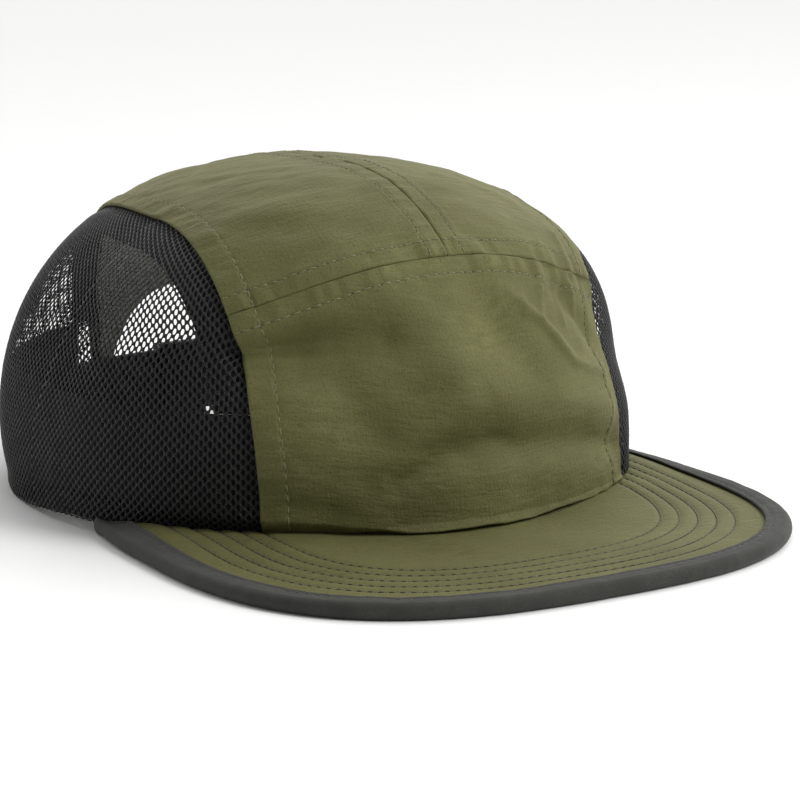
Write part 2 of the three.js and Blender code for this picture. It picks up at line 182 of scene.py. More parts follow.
# Creases in the cloth, each a path of places: phi, lam, half width and height outward in mm.
creases = [
    # the tuck under the seam across the crown, the hollow that it runs down into, and its rim
    [(0.65, -0.68, 2.2, -2.4), (0.61, -0.52, 3.0, -4.8), (0.57, -0.38, 4.4, -5.0),
     (0.525, -0.25, 5.5, -3.0)],
    [(0.57, -0.64, 6, -2.0), (0.50, -0.50, 9, -3.6), (0.42, -0.41, 9, -3.6),
     (0.33, -0.38, 9, -3.2), (0.23, -0.32, 7, -1.8)],
    [(0.62, -0.18, 7, 0.8), (0.50, -0.10, 8, 2.2), (0.38, -0.06, 8, 2.2), (0.30, -0.06, 6, 1.2)],
    # the ridge that rises to the wearer's left, and the hollow over the brim below it
    [(0.15, -0.30, 5, 0.9), (0.215, -0.12, 6, 1.7), (0.26, 0.03, 6, 2.1), (0.25, 0.30, 6, 1.6),
     (0.21, 0.56, 5, 1.3)],
    [(0.09, -0.26, 3, -1.0), (0.14, -0.10, 4, -2.0), (0.14, 0.05, 4.5, -2.5),
     (0.13, 0.29, 5, -2.5), (0.105, 0.60, 4.5, -2.2)],
    [(0.165, 0.02, 2.6, -0.8), (0.16, 0.08, 2.6, -0.6)],
    [(0.09, -0.64, 5, -1.0), (0.04, -0.46, 5, -1.0)],
    # the sharper ridge at the wearer's left, between two hollows, and the short creases there
    [(0.62, 0.16, 1.7, 0.6), (0.52, 0.26, 1.6, 1.2), (0.43, 0.33, 1.7, 1.3),
     (0.37, 0.40, 1.8, 0.9), (0.345, 0.58, 2.0, 0.5)],
    [(0.59, 0.07, 6, -1.6), (0.47, 0.11, 7.5, -3.2), (0.34, 0.18, 6, -1.6)],
    [(0.66, 0.40, 4, -1.3), (0.58, 0.50, 4, -2.0), (0.46, 0.58, 4, -1.2)],
    [(0.66, 0.30, 1.3, 0.6), (0.53, 0.27, 1.3, 0.6)],
    [(0.69, 0.40, 1.3, 0.6), (0.52, 0.38, 1.3, 0.6)],
    [(0.71, 0.48, 1.2, 0.55), (0.59, 0.51, 1.2, 0.5)],
    [(0.64, 0.20, 1.3, 0.4), (0.55, 0.20, 1.3, 0.4)],
    [(0.66, 0.12, 1.3, 0.24), (0.60, 0.12, 1.3, 0.24)],
    [(0.98, 0.48, 1.3, 0.5), (0.89, 0.49, 1.3, 0.5), (0.78, 0.49, 1.3, 0.45)],
    [(0.90, 0.36, 1.3, 0.28), (0.79, 0.36, 1.3, 0.24)],
    # the top panels, where they show and behind
    [(1.23, -0.50, 3.5, -0.4), (1.09, -0.35, 4.5, -0.7), (1.00, -0.18, 4, -0.4)],
    [(1.45, -0.39, 3, -0.2), (1.33, -0.24, 4, -0.35), (1.28, -0.10, 3.5, -0.2)],
    [(1.74, -0.45, 3, 0.2), (1.59, -0.30, 3, 0.4), (1.54, -0.14, 3, 0.3)],
    [(2.0, 0.2, 2.6, -0.5), (1.8, 0.38, 2.6, -0.5)],
    [(2.3, -0.42, 2.4, 0.5), (2.05, -0.3, 2.4, 0.5)],
    [(1.35, 0.18, 3, 0.4), (1.2, 0.4, 3, 0.4)],
    [(1.9, -0.1, 2.6, -0.5), (1.7, -0.32, 2.6, -0.5)],
    [(2.45, 0.28, 3, -0.6), (2.2, 0.12, 3, -0.6)],
]


# Each crease is a Gaussian of the distance to the nearest point of its path, whose half width
# and height are blended between the places along it.
def creaseHeight(points):
    total = 0
    for path in creases:
        marks = np.array(path)
        places = crownPlain(marks[:, 0], marks[:, 1])
        nearest = np.full(points.shape[:-1], np.inf)
        height = np.zeros(points.shape[:-1])
        for k in range(len(path) - 1):
            way = places[k + 1] - places[k]
            share = np.clip((points - places[k]) @ way / (way @ way), 0, 1)
            away = points - places[k] - share[..., None] * way
            halfWidth, rise = (marks[k, n] * (1 - share) + marks[k + 1, n] * share for n in (2, 3))
            far = np.sum(away ** 2, -1) / halfWidth ** 2
            height = np.where(far < nearest, rise, height)
            nearest = np.minimum(nearest, far)
        total = total + height * np.exp(-nearest)
    return total


# The cloth of the front rolls out over the brim: how far at the wearer's right and left and how
# much more between, over what height it comes out, and how fast it falls back above, in mm. The
# spans say where each value changes to the next, from a sideways angle and over how much of it.
footRoll = {
    "right": 3.8, "left": 4.8, "reachSpan": (-0.75, 1.4),
    "between": 3.2, "betweenLam": -0.02, "betweenHalf": 0.42,
    "outRight": 5.0, "outLeft": 1.5, "outSpan": (-0.6, 0.45), "fall": 10,
    "startMiddle": 3.35, "startSides": 4.6, "startHalf": 60, "uneven": 0.35, "unevenPitch": 7,
    "sideEnd": 1.12, "sideFade": 0.4,
}


# The roll's height: a reach blended from right to left with a Gaussian swell between, times a
# smooth rise from where it starts and an exponential fall above.
def footHeight(phi, lam, point):
    look = footRoll
    leftward = lambda span: smooth((lam - look[span][0]) / look[span][1])
    reach = look["right"] + (look["left"] - look["right"]) * leftward("reachSpan")
    swell = np.exp(-((lam - look["betweenLam"]) / look["betweenHalf"]) ** 2)
    reach = reach + look["between"] * swell
    out = look["outRight"] + (look["outLeft"] - look["outRight"]) * leftward("outSpan")
    start = look["startMiddle"] + (look["startSides"] - look["startMiddle"]) * smooth(
        np.abs(point[..., 0]) / look["startHalf"])
    along = point[..., 0] / look["unevenPitch"]
    start = start + look["uneven"] * softNoise(along, 0 * along, 17)
    above = np.maximum(0, point[..., 2] - start)
    inFront = smooth((look["sideEnd"] - np.abs(lam)) / look["sideFade"]) * (np.cos(phi) > 0)
    return reach * inFront * smooth(above / out) * np.exp(-above / look["fall"])


# A point of the crown, set in from its outer face. Folds fade out above the hem.
def crownPoint(phi, lam, inset=0):
    point = crownPlain(phi, lam)
    height = point[..., 2]
    clear = smooth((height - brim["stack"]) / (2 * crown["pullFade"]))
    soft = clear * foldDepth(phi, lam) - smooth((height - brim["stack"]) / 5) * creaseHeight(point)
    depth = inset + soft - footHeight(phi, lam, point)
    return point - crownOutward(phi, lam) * np.asarray(depth)[..., None]


# A place from its shares along the crown and up it, which stay smooth at the hem.
def placeOf(along, rise, side):
    phi = np.arctan2(np.maximum(rise, 0), along)
    return phi, side * np.arccos(np.minimum(1, np.hypot(along, rise)))


# The place at one height, tau being the angle round the crown from the front (0) to the back.
def levelPlace(tau, height):
    tau, height = np.broadcast_arrays(np.asarray(tau, float), np.asarray(height, float))
    side = np.where(tau < 0, -1, 1)
    heightAt = lambda rise: crownPlain(
        *placeOf(np.sqrt(1 - rise * rise) * np.cos(tau), rise, side))[..., 2]
    top = np.full(tau.shape, 0.98)
    rise = crossing(np.zeros(tau.shape), top, lambda value: heightAt(value) - height)
    rise = np.where(height <= heightAt(np.zeros(tau.shape)), 0, rise)
    return placeOf(np.sqrt(1 - rise * rise) * np.cos(tau), rise, side)


# Rows spread evenly along the crown's arc: the superellipse's own angle, there and back.
def evenPhi(angle):
    arc = np.where(np.cos(angle) > 0, crown["frontSquareness"], crown["backSquareness"])
    return np.arctan2(np.maximum(0, np.sin(angle)) ** (arc / 2),
                      signedPower(np.cos(angle), arc / 2))


# The superellipse's own angle at a place, which evenPhi turns back.
def angleOf(phi):
    arc = np.where(np.cos(phi) > 0, crown["frontSquareness"], crown["backSquareness"])
    return np.arctan2(np.maximum(0, np.sin(phi)) ** (2 / arc),
                      signedPower(np.cos(phi), 2 / arc))


# The seams. The side seam is given by its half widths at the front hem, the top and the back hem.
seams = {
    "frontHem": 56.5, "top": 52.1, "backHem": 30.5,
    "frontHeight": 0.783, "frontDip": -0.059, "frontRise": 0.073,
    "openingHeight": 44, "openingMargin": 3,
}


# The sideways angle at which a superellipse of that power is so wide.
def lamAtHalfWidth(halfWidth, power):
    return math.asin((halfWidth / crown["halfWidth"]) ** (power / 2))


seamFront = lamAtHalfWidth(seams["frontHem"], crown["hemSquareness"])
seamTop = lamAtHalfWidth(seams["top"], crown["topSquareness"])
seamBack = lamAtHalfWidth(seams["backHem"], crown["hemSquareness"])


# The side seam: a mean angle, a cosine that slants it and one of twice the angle for its waist.
def seamLam(phi):
    mean = (seamFront + seamBack + 2 * seamTop) / 4
    slant = (seamFront - seamBack) / 2
    waist = (seamFront + seamBack - 2 * seamTop) / 4
    return mean + slant * np.cos(phi) + waist * np.cos(2 * phi)


# The seam across the crown, t running from -1 to 1 between the side seams.
def frontSeamPhi(t):
    middle = math.asin(seams["frontHeight"] ** (crown["frontSquareness"] / 2))
    return middle + seams["frontDip"] * t ** 2 + seams["frontRise"] * t ** 4


openingHalfWidth = crownPlain(math.pi, seamLam(math.pi))[0] - seams["openingMargin"]


# The back end of the top panels: half an ellipse over the opening, then the hem.
def panelEndPhi(t):
    t = np.asarray(t, float)

    # height over that ellipse, a given angle up from the back hem
    def above(climb):
        phi = math.pi - climb
        point = crownPlain(phi, t * seamLam(phi))
        share = np.minimum(1, np.abs(point[..., 0]) / openingHalfWidth)
        return point[..., 2] - seams["openingHeight"] * np.sqrt(1 - share * share) - 1e-6

    return math.pi - crossing(np.zeros(t.shape), np.full(t.shape, 1.37), above)


# Adds a mesh from points in millimetres. Doubled points are merged and faces turned outwards.
def addPiece(name, points, faces, material, replaced=(), cloth=None, solid=True):
    points = np.asarray(points, float).reshape(-1, 3) + (0, shiftY, 0)
    mesh = bpy.data.meshes.new(name)
    mesh.from_pydata((points / 1000).tolist(), [], [f for part in faces for f in part.tolist()])
    if cloth is not None:
        layer = mesh.uv_layers.new(name="cloth")
        corners = np.empty(len(mesh.loops), int)
        mesh.loops.foreach_get("vertex_index", corners)
        layer.data.foreach_set("uv", (np.asarray(cloth).reshape(-1, 2) / 1000)[corners].ravel())
    if solid:
        work = bmesh.new()
        work.from_mesh(mesh)
        bmesh.ops.remove_doubles(work, verts=work.verts, dist=2e-6)
        bmesh.ops.dissolve_degenerate(work, edges=work.edges, dist=1e-7)
        bmesh.ops.recalc_face_normals(work, faces=work.faces)
        work.to_mesh(mesh)
        work.free()
    mesh.polygons.foreach_set("use_smooth", [True] * len(mesh.polygons))
    for one in material if isinstance(material, (list, tuple)) else [material]:
        mesh.materials.append(one)
    mesh.update()
    piece = bpy.data.objects.new(name, mesh)
    bpy.context.scene.collection.objects.link(piece)
    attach(piece, "root")
    if replaced:
        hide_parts(*replaced)
    return piece


# The quads of a grid of points, numbered row by row.
def gridQuads(rows, columns, start=0, flip=False):
    i, j = np.meshgrid(np.arange(rows - 1), np.arange(columns - 1), indexing="ij")
    a = (start + i * columns + j).ravel()
    quads = np.stack([a, a + columns, a + columns + 1, a + 1], -1)
    return quads[:, ::-1] if flip else quads


# Two matching grids closed into one solid by a strip of quads along their border.
def closedSheets(outer, inner):
    rows, columns = outer.shape[:2]
    number = np.arange(rows * columns).reshape(rows, columns)
    rim = np.concatenate([number[0, :-1], number[:-1, -1], number[-1, :0:-1], number[:0:-1, 0]])
    after = np.roll(rim, -1)
    shift = rows * columns
    strip = np.stack([rim, after, after + shift, rim + shift], -1)
    points = np.concatenate([outer.reshape(-1, 3), inner.reshape(-1, 3)])
    return points, [gridQuads(rows, columns), gridQuads(rows, columns, shift, True), strip]


# Unit normals of a grid of points, from the differences along its rows and columns.
def gridNormals(points, outward):
    normal = np.cross(np.gradient(points, axis=0), np.gradient(points, axis=1))
    normal /= np.maximum(np.linalg.norm(normal, axis=-1, keepdims=True), 1e-9)
    flip = np.sign(np.sum(normal * outward, -1, keepdims=True))
    normal = normal * np.where(flip == 0, 1, flip)
    bad = np.sum(normal * outward, -1, keepdims=True) < 0.3
    return np.where(bad, outward, normal)


# Length run along an axis of a grid of points, from its first point.
def runLength(points, axis):
    step = np.linalg.norm(np.diff(points, axis=axis), axis=-1)
    zero = np.zeros_like(np.take(step, [0], axis))
    return np.concatenate([zero, np.cumsum(step, axis=axis)], axis)


# Steps from 0 to 1 over a length: fine ones near the ends that need them, coarse ones between.
def gradedSteps(length, fine, coarse, reach, ends=(True, True)):
    marks = [0.0]
    while marks[-1] < length:
        near = min(marks[-1] if ends[0] else length, length - marks[-1] if ends[1] else length)
        blend = min(1, max(0, (near - reach) / reach))
        marks.append(marks[-1] + fine + (coarse - fine) * blend)
    return np.array(marks) / marks[-1]


# An sRGB hex value made linear: a straight line at the dark end, a power above it.
def rgb(code):
    channels = np.array([int(code[i:i + 2], 16) for i in (1, 3, 5)]) / 255
    linear = np.where(channels <= 0.04045, channels / 12.92, ((channels + 0.055) / 1.055) ** 2.4)
    return (*linear, 1)


# Adds one node: settings go to the socket of that name or number, or else to the node itself.
def addNode(tree, kind, settings=None, links=None):
    node = tree.nodes.new("ShaderNode" + kind)
    for key, value in (settings or {}).items():
        if isinstance(key, int) or key in node.inputs:
            node.inputs[key].default_value = value
        else:
            setattr(node, key, value)
    for key, source in (links or {}).items():
        tree.links.new(source, node.inputs[key])
    return node


# A material from its table. Each pattern is noise, on Object coordinates or, if "cloth" names it,
# on the piece's own map: its scale per metre (one, or one for each axis), detail and roughness.
# A colour row blends two colours by a pattern between two levels, None being the colour so far.
# A bump row gives a pattern, a depth in metres and a strength. A scale is one over a size: 1500
# is two thirds of a millimetre. Threads and filaments are a tenth of a millimetre or less, too
# fine to show here, so their patterns are drawn several times as coarse.
def makeMaterial(name, look):
    material = bpy.data.materials.new(name)
    material.use_nodes = True
    tree = material.node_tree
    shader = tree.nodes["Principled BSDF"]
    for key, value in look["shader"].items():
        shader.inputs[key].default_value = value
    place = addNode(tree, "TexCoord").outputs["Object"]
    cloth = addNode(tree, "UVMap", {"uv_map": "cloth"}).outputs[0] if look.get("cloth") else None
    patterns = {}
    for key, (scale, detail, roughness) in look["patterns"].items():
        scales = scale if isinstance(scale, tuple) else (scale,) * 3
        mapping = addNode(tree, "Mapping", {"Scale": scales},
                          {"Vector": cloth if key in look.get("cloth", ()) else place})
        patterns[key] = addNode(tree, "TexNoise", {
            "Scale": 1, "Detail": detail, "Roughness": roughness,
        }, {"Vector": mapping.outputs[0]}).outputs[0]
    if "ribs" in look:
        patterns["ribs"] = addNode(tree, "TexWave", look["ribs"], {"Vector": cloth}).outputs[1]
    colour = None
    for key, low, high, *pair in look["colours"]:
        factor = addNode(tree, "MapRange", {"From Min": low, "From Max": high},
                         {"Value": patterns[key]}).outputs[0]
        blend = addNode(tree, "Mix", {"data_type": "RGBA"}, {0: factor})
        for socket, value in zip((6, 7), pair):
            if value is None:
                tree.links.new(colour, blend.inputs[socket])
            else:
                blend.inputs[socket].default_value = rgb(value)
        colour = blend.outputs[2]
    tree.links.new(colour, shader.inputs["Base Color"])
    normal = shader.inputs["Normal"]
    for key, depth, strength in reversed(look.get("bumps", ())):
        bump = addNode(tree, "Bump", {"Distance": depth, "Strength": strength},
                       {"Height": patterns[key]})
        tree.links.new(bump.outputs[0], normal)
        normal = bump.inputs["Normal"]
    return material


# Woven nylon, dyed and crinkled in washing: dull, with fine level creases and a faint weave. The
# creases are a few millimetres long and half a millimetre wide, along the hem and up it, over
# broader patches.
nylon = makeMaterial("crinkled_nylon", {
    "shader": {"Roughness": 0.74, "IOR": 1.53, "Sheen Weight": 0.24, "Sheen Roughness": 0.3,
               "Specular IOR Level": 0.28, "Sheen Tint": rgb("#C9C58F")},
    "cloth": ("mottle", "level", "upright", "grain"),
    "patterns": {"patch": (28, 3, 0.55), "mottle": ((160, 420, 1), 3, 0.6),
                 "level": ((140, 760, 1), 3, 0.6), "upright": ((1200, 300, 1), 3, 0.6),
                 "grain": ((1500, 1500, 1), 2, 0.6)},
    "colours": (("patch", 0.3, 0.7, "#53512B", "#6F6E43"), ("mottle", 0.35, 0.65, None, "#616038"),
                ("grain", 0.15, 0.5, "#4A4825", None)),
    "bumps": (("level", 0.0012, 0.28), ("upright", 0.0006, 0.3), ("grain", 0.0004, 0.4)),
})

# Polyurethane coating on the back of the nylon: pale grey, with the weave showing through.
coating = makeMaterial("coated_nylon_back", {
    "shader": {"Roughness": 0.55, "IOR": 1.5},
    "patterns": {"cloud": (90, 3, 0.5), "thread": (2400, 2, 0.5)},
    "colours": (("cloud", 0.3, 0.7, "#C9C8BC", "#D9D8CE"),),
    "bumps": (("thread", 0.0002, 0.2),),
})

# Warp-knitted polyester yarn: dark filaments, with small lighter dots in the colour that are painted
# glints.
net = makeMaterial("knitted_net", {
    "shader": {"Roughness": 0.55, "IOR": 1.55, "Sheen Weight": 0.06, "Specular IOR Level": 0.3},
    "patterns": {"glint_speck": (1900, 3, 0.6), "patch": (60, 2, 0.5)},
    # the lighter dots of the first pattern are painted glints on the yarn; the dark is its own
    # colour
    "colours": (("glint_speck", 0.4, 0.68, "#0C0C0C", "#1D1D1C"), ("patch", 0.3, 0.7, None, "#121212")),
    "bumps": (("glint_speck", 0.0002, 0.6),),
})

# Webbing woven in ribs a little over a millimetre apart: black and matt, the ribs catching light.
webbing = makeMaterial("woven_webbing", {
    "shader": {"Roughness": 0.75, "IOR": 1.5, "Sheen Weight": 0.2},
    "cloth": ("grain",), "ribs": {"Scale": 250, "Distortion": 0.6, "Detail": 1},
    "patterns": {"grain": ((1800, 2600, 1), 3, 0.6)},
    "colours": (("grain", 0.3, 0.7, "#1A1A1B", "#303031"),),
    "bumps": (("ribs", 0.0003, 0.5), ("grain", 0.0002, 0.4)),
})

# Brushed knit, soft against the head: black, almost without gloss.
knit = makeMaterial("brushed_knit", {
    "shader": {"Roughness": 0.95, "IOR": 1.5, "Sheen Weight": 0.15, "Sheen Roughness": 0.6,
               "Specular IOR Level": 0.2},
    "patterns": {"fuzz": (1700, 4, 0.7)},
    "colours": (("fuzz", 0.3, 0.7, "#101011", "#1C1C1D"),),
    "bumps": (("fuzz", 0.0004, 0.5),),
})

# Acetal moulded in a fine-eroded tool: black with a low satin gloss.
acetal = makeMaterial("moulded_acetal", {
    "shader": {"Roughness": 0.42, "IOR": 1.48},
    "patterns": {"grain": (1500, 2, 0.5)},
    "colours": (("grain", 0.3, 0.7, "#121212", "#1C1C1C"),),
    "bumps": (("grain", 0.0002, 0.2),),
})


# Woven polyester tape, matt, with a faint cross weave and fuzz, in two shades of one colour.
def wovenTape(name, dark, light):
    return makeMaterial(name, {
        "shader": {"Roughness": 0.82, "IOR": 1.5, "Sheen Weight": 0.1, "Sheen Roughness": 0.45,
                   "Specular IOR Level": 0.22},
        "patterns": {"grain": (2400, 3, 0.6), "cloud": (150, 3, 0.6)},
        "colours": (("grain", 0.35, 0.65, dark, light), ("cloud", 0.3, 0.7, None, dark)),
        "bumps": (("cloud", 0.001, 0.12), ("grain", 0.0002, 0.35)),
    })


# Spun polyester sewing thread: twisted, so it shines a little along each stitch.
def sewingThread(name, dark, light):
    return makeMaterial(name, {
        "shader": {"Roughness": 0.55, "IOR": 1.55, "Sheen Weight": 0.2, "Specular IOR Level": 0.4},
        "patterns": {"twist": (2200, 2, 0.5)},
        "colours": (("twist", 0.35, 0.65, dark, light),),
        "bumps": (("twist", 0.0002, 0.4),),
    })


bindingTape = wovenTape("woven_charcoal_tape", "#363632", "#474743")
seamTape = wovenTape("woven_black_tape", "#161616", "#232323")
nylonThread = sewingThread("olive_thread", "#666442", "#827F5A")
darkThread = sewingThread("dark_olive_thread", "#35331C", "#47442B")
charcoalThread = sewingThread("charcoal_thread", "#2C2C29", "#44443F")
blackThread = sewingThread("black_thread", "#161616", "#2A2A2A")
# painted shade: a dark olive for the shadow in each needle hole, given a thread's finish
needleHoleShade = sewingThread("needle_hole_painted_shade", "#232110", "#2F2C17")
print("stage: materials made")


# Stitches: lengths in mm, and how the thread thins to its ends. A needle hole is a cone of
# painted shade, from a rim a little under the cloth to a tip a little over it.
stitchLook = {
    "pitch": 3.0, "length": 2.2, "radius": 0.18, "thinning": 0.3, "lift": 0.14, "sink": 0.34,
    "holeRadius": 0.42, "holeUnder": 0.02, "holeOver": 0.05, "rings": 6, "sides": 6,
}


# Stitches along paths. Rows out of sight have fewer rings.
class Sewing:
    def __init__(self, name, thread, look=None):
        self.name, self.thread = name, thread
        self.look = {**stitchLook, **(look or {})}
        self.centres, self.ways, self.normals, self.holes, self.holeNormals = [], [], [], [], []

    # Even pitches along a path: a stitch in the middle of each, and a hole between every two
    def along(self, points, normals):
        look = self.look
        run = runLength(points, 0)
        count = int(run[-1] / look["pitch"])
        if count < 2:
            return
        pitch = run[-1] / count
        at = lambda places, values: np.stack(
            [np.interp(places, run, values[:, k]) for k in range(3)], -1)
        middles = (np.arange(count) + 0.5) * pitch
        reach = look["length"] / 2
        way = at(middles + reach, points) - at(middles - reach, points)
        normal = at(middles, normals)
        normal /= np.linalg.norm(normal, axis=-1, keepdims=True)
        self.centres.append(at(middles, points))
        self.ways.append(way / np.linalg.norm(way, axis=-1, keepdims=True))
        self.normals.append(normal)
        knots = np.arange(1, count) * pitch
        holeNormal = at(knots, normals)
        self.holes.append(at(knots, points))
        self.holeNormals.append(holeNormal / np.linalg.norm(holeNormal, axis=-1, keepdims=True))

    # A stitch is a tube whose middle line is a parabola over the cloth and whose radius falls
    # with the square of the distance from its middle. A needle hole is a low cone of painted shade.
    def finish(self, slot):
        look = self.look
        rings, sides = look["rings"], look["sides"]
        centre, way = np.concatenate(self.centres), np.concatenate(self.ways)
        normal = np.concatenate(self.normals)
        side = np.cross(way, normal)
        side /= np.linalg.norm(side, axis=-1, keepdims=True)
        share = np.linspace(-1, 1, rings)
        height = look["lift"] - (look["lift"] + look["sink"]) * share ** 2
        radius = look["radius"] * (1 - look["thinning"] * share ** 2)
        turn = np.arange(sides) * 2 * math.pi / sides
        spine = (centre[:, None] + way[:, None] * (share * look["length"] / 2)[:, None]
                 + normal[:, None] * height[:, None])
        ring = (side[:, None, None] * np.cos(turn)[:, None]
                + normal[:, None, None] * np.sin(turn)[:, None])
        points = spine[:, :, None] + ring * radius[:, None, None]
        count, each = len(centre), rings * sides
        start = np.arange(count)[:, None, None] * each + np.arange(rings - 1)[:, None] * sides
        a, b = start + np.arange(sides), start + (np.arange(sides) + 1) % sides
        quads = np.stack([a, b, b + sides, a + sides], -1).reshape(-1, 4)
        first = np.arange(count)[:, None] * each + np.arange(sides)[::-1]
        last = first[:, ::-1] + each - sides

        spot, spotNormal = np.concatenate(self.holes), np.concatenate(self.holeNormals)
        level = np.cross(spotNormal, (0.3, 0.2, 0.9))  # with any fixed direction
        level /= np.linalg.norm(level, axis=-1, keepdims=True)
        other = np.cross(spotNormal, level)
        disc = (spot[:, None] + look["holeRadius"] * (level[:, None] * np.cos(turn)[:, None]
                + other[:, None] * np.sin(turn)[:, None])
                - spotNormal[:, None] * look["holeUnder"])
        tip = spot + spotNormal * look["holeOver"]
        under = count * each + np.arange(len(spot))[:, None] * sides
        c, d = under + np.arange(sides), under + (np.arange(sides) + 1) % sides
        tips = np.broadcast_to(
            (count * each + len(spot) * sides + np.arange(len(spot)))[:, None], c.shape)
        cones = np.stack([c, d, tips], -1).reshape(-1, 3)
        piece = addPiece(
            self.name, np.concatenate([points.reshape(-1, 3), disc.reshape(-1, 3), tip]),
            [quads, first, last, cones, c[:, ::-1]], [self.thread, needleHoleShade])
        # the cones' faces take the painted shade of the needle holes
        isHoleShade = np.arange(len(piece.data.polygons)) >= len(quads) + 2 * count
        piece.data.polygons.foreach_set("material_index", isHoleShade.astype(int).tolist())


# Where a distance field takes one value on a grid: the point in each row (or column), from the
# two grid points on either side.
def traceLine(points, normals, field, value, axis):
    if axis == 0:
        points, normals, field = (np.swapaxes(item, 0, 1) for item in (points, normals, field))
    rising = field[:, -1] > field[:, 0]
    after = np.array([np.searchsorted(row if up else row[::-1], value)
                      for row, up in zip(field, rising)])
    width = field.shape[1]
    after = np.where(rising, after, width - after)
    keep = (after > 0) & (after < width)
    rows = np.arange(len(field))[keep]
    after = after[keep]
    low, high = field[rows, after - 1], field[rows, after]
    share = ((value - low) / (high - low))[:, None]
    mix = lambda grid: grid[rows, after - 1] * (1 - share) + grid[rows, after] * share
    return mix(points), mix(normals)


panelLook = {
    "thickness": 0.6, "thinnest": 0.15, "edgeRadius": 0.34, "edgeDrop": 0.42,
    "bandWidth": 6.3, "bandRaise": 0.16, "bandStitch": 5.2, "bandOver": 0.9, "bandSlope": 1.6,
    "stripWidth": 7.4, "stripRaise": 0.26, "grooveDepth": 0.26, "grooveWidth": 0.55, "tug": 0.25,
    # the longer and the shorter puckers: length along the seam, fade across it, and depth
    "puckerLengths": (5.2, 2.1), "puckerFades": (22, 15), "puckerDepths": (0.42, 0.4),
    "puckerReach": 9, "puckerMiddle": 0.5, "puckerHalf": 0.62, "puckerClear": 0.8,
    "crumple": ((17, 0.3), (8, 0.2), (3.6, 0.09)), "crumpleMargin": 5,
    "turnedHem": 10, "fine": 0.34,  # the grid's finest step, at every seam
}


# Relief beside a seam at distance d and run s along it: a raised band with a smooth slope, an
# edge rounded as a circle, and a Gaussian groove at the stitches, tugged deeper by each.
def seamRelief(d, s, width, raised, stitch):
    look = panelLook
    band = raised * smooth((width + look["bandOver"] - d) / look["bandSlope"])
    inside = np.clip(1 - d / look["edgeRadius"], 0, 1)
    edge = -look["edgeDrop"] * (1 - np.sqrt(np.maximum(0, 1 - inside ** 2)))
    tug = 1 - look["tug"] + look["tug"] * np.cos(2 * math.pi * s / stitchLook["pitch"])
    groove = -look["grooveDepth"] * tug * np.exp(-((d - stitch) / look["grooveWidth"]) ** 2)
    return band + edge + groove


# Puckers drawn up by the thread: soft noise along the seam, short waves within its band and longer
# ones that fade past it as a Gaussian.
def puckers(d, s, stitch, seed, strength=1):
    look = panelLook
    (long, short), (deep, fine) = look["puckerLengths"], look["puckerDepths"]
    slow, quick = look["puckerFades"]
    waves = deep * softNoise(s / long, d / slow + 3, seed)
    waves = waves * np.exp(-(d / look["puckerReach"]) ** 2)
    ladder = fine * softNoise(s / short, d / quick + 9, seed + 1) * np.exp(
        -((d - look["puckerMiddle"] * stitch) / (look["puckerHalf"] * stitch)) ** 4)
    return strength * (waves + ladder) * smooth(d / look["puckerClear"])


# Crumple in the cloth: soft noise of three sizes added up, each a little longer than it is high.
def crumple(s, h, seed):
    total = 0
    for k, (length, height) in enumerate(panelLook["crumple"]):
        total = total + height * softNoise(s / length + 7.3 * k, h / (length * 0.62), seed + k)
    return total


# Lays a panel: its grid of places, the relief on it and an inner face, closed into one solid.
def layPanel(name, phi, lam, reliefAt):
    base = crownPoint(phi, lam)
    outward = crownOutward(phi, lam)
    normal = gridNormals(base, outward)
    across, down = runLength(base, 1), runLength(base, 0)
    relief, fields = reliefAt(base, across, down)
    outer = base + normal * relief[..., None]
    wall = np.maximum(panelLook["thickness"], panelLook["thinnest"] - relief)
    inner = base - normal * wall[..., None]
    points, faces = closedSheets(outer, inner)
    middle = across.shape[1] // 2
    cloth = np.stack([across - across[:, middle:middle + 1], down], -1)
    piece = addPiece(f"{name}_cloth", points, faces, [nylon, coating], (name,),
                     np.concatenate([cloth, cloth]))
    outerFaces = len(faces[0])
    polygons = piece.data.polygons
    order = np.arange(len(polygons))
    centres = np.empty(3 * len(polygons))
    polygons.foreach_get("center", centres)
    # the inner sheet's faces; the hem is turned in, so they show the cloth's right side there
    isInside = (order >= outerFaces) & (order < 2 * outerFaces)
    isInside &= centres[2::3] * 1000 > panelLook["turnedHem"]
    polygons.foreach_set("material_index", isInside.astype(int).tolist())
    return outer, gridNormals(outer, outward), fields


sideSewing = Sewing("strip_stitches", nylonThread)
bandSewing = Sewing("seam_stitches", nylonThread, {"pitch": 2.7, "length": 2.05})


frontLook = {
    "width": 118, "height": 88, "coarse": 0.85, "sideMargin": 9, "endMargin": 7,
    # gathers at the foot, over the brim, stronger at the wearer's left as the puckers above are
    "gather": 0.8, "gatherPitch": 3.4, "gatherFall": 14, "gatherReach": 7, "gatherLeft": 0.65,
    "gatherClear": 1.5, "puckerTop": 0.9, "puckerLeft": 0.5, "puckerSide": 0.6,
    "leftFrom": -10, "leftOver": 40,
}


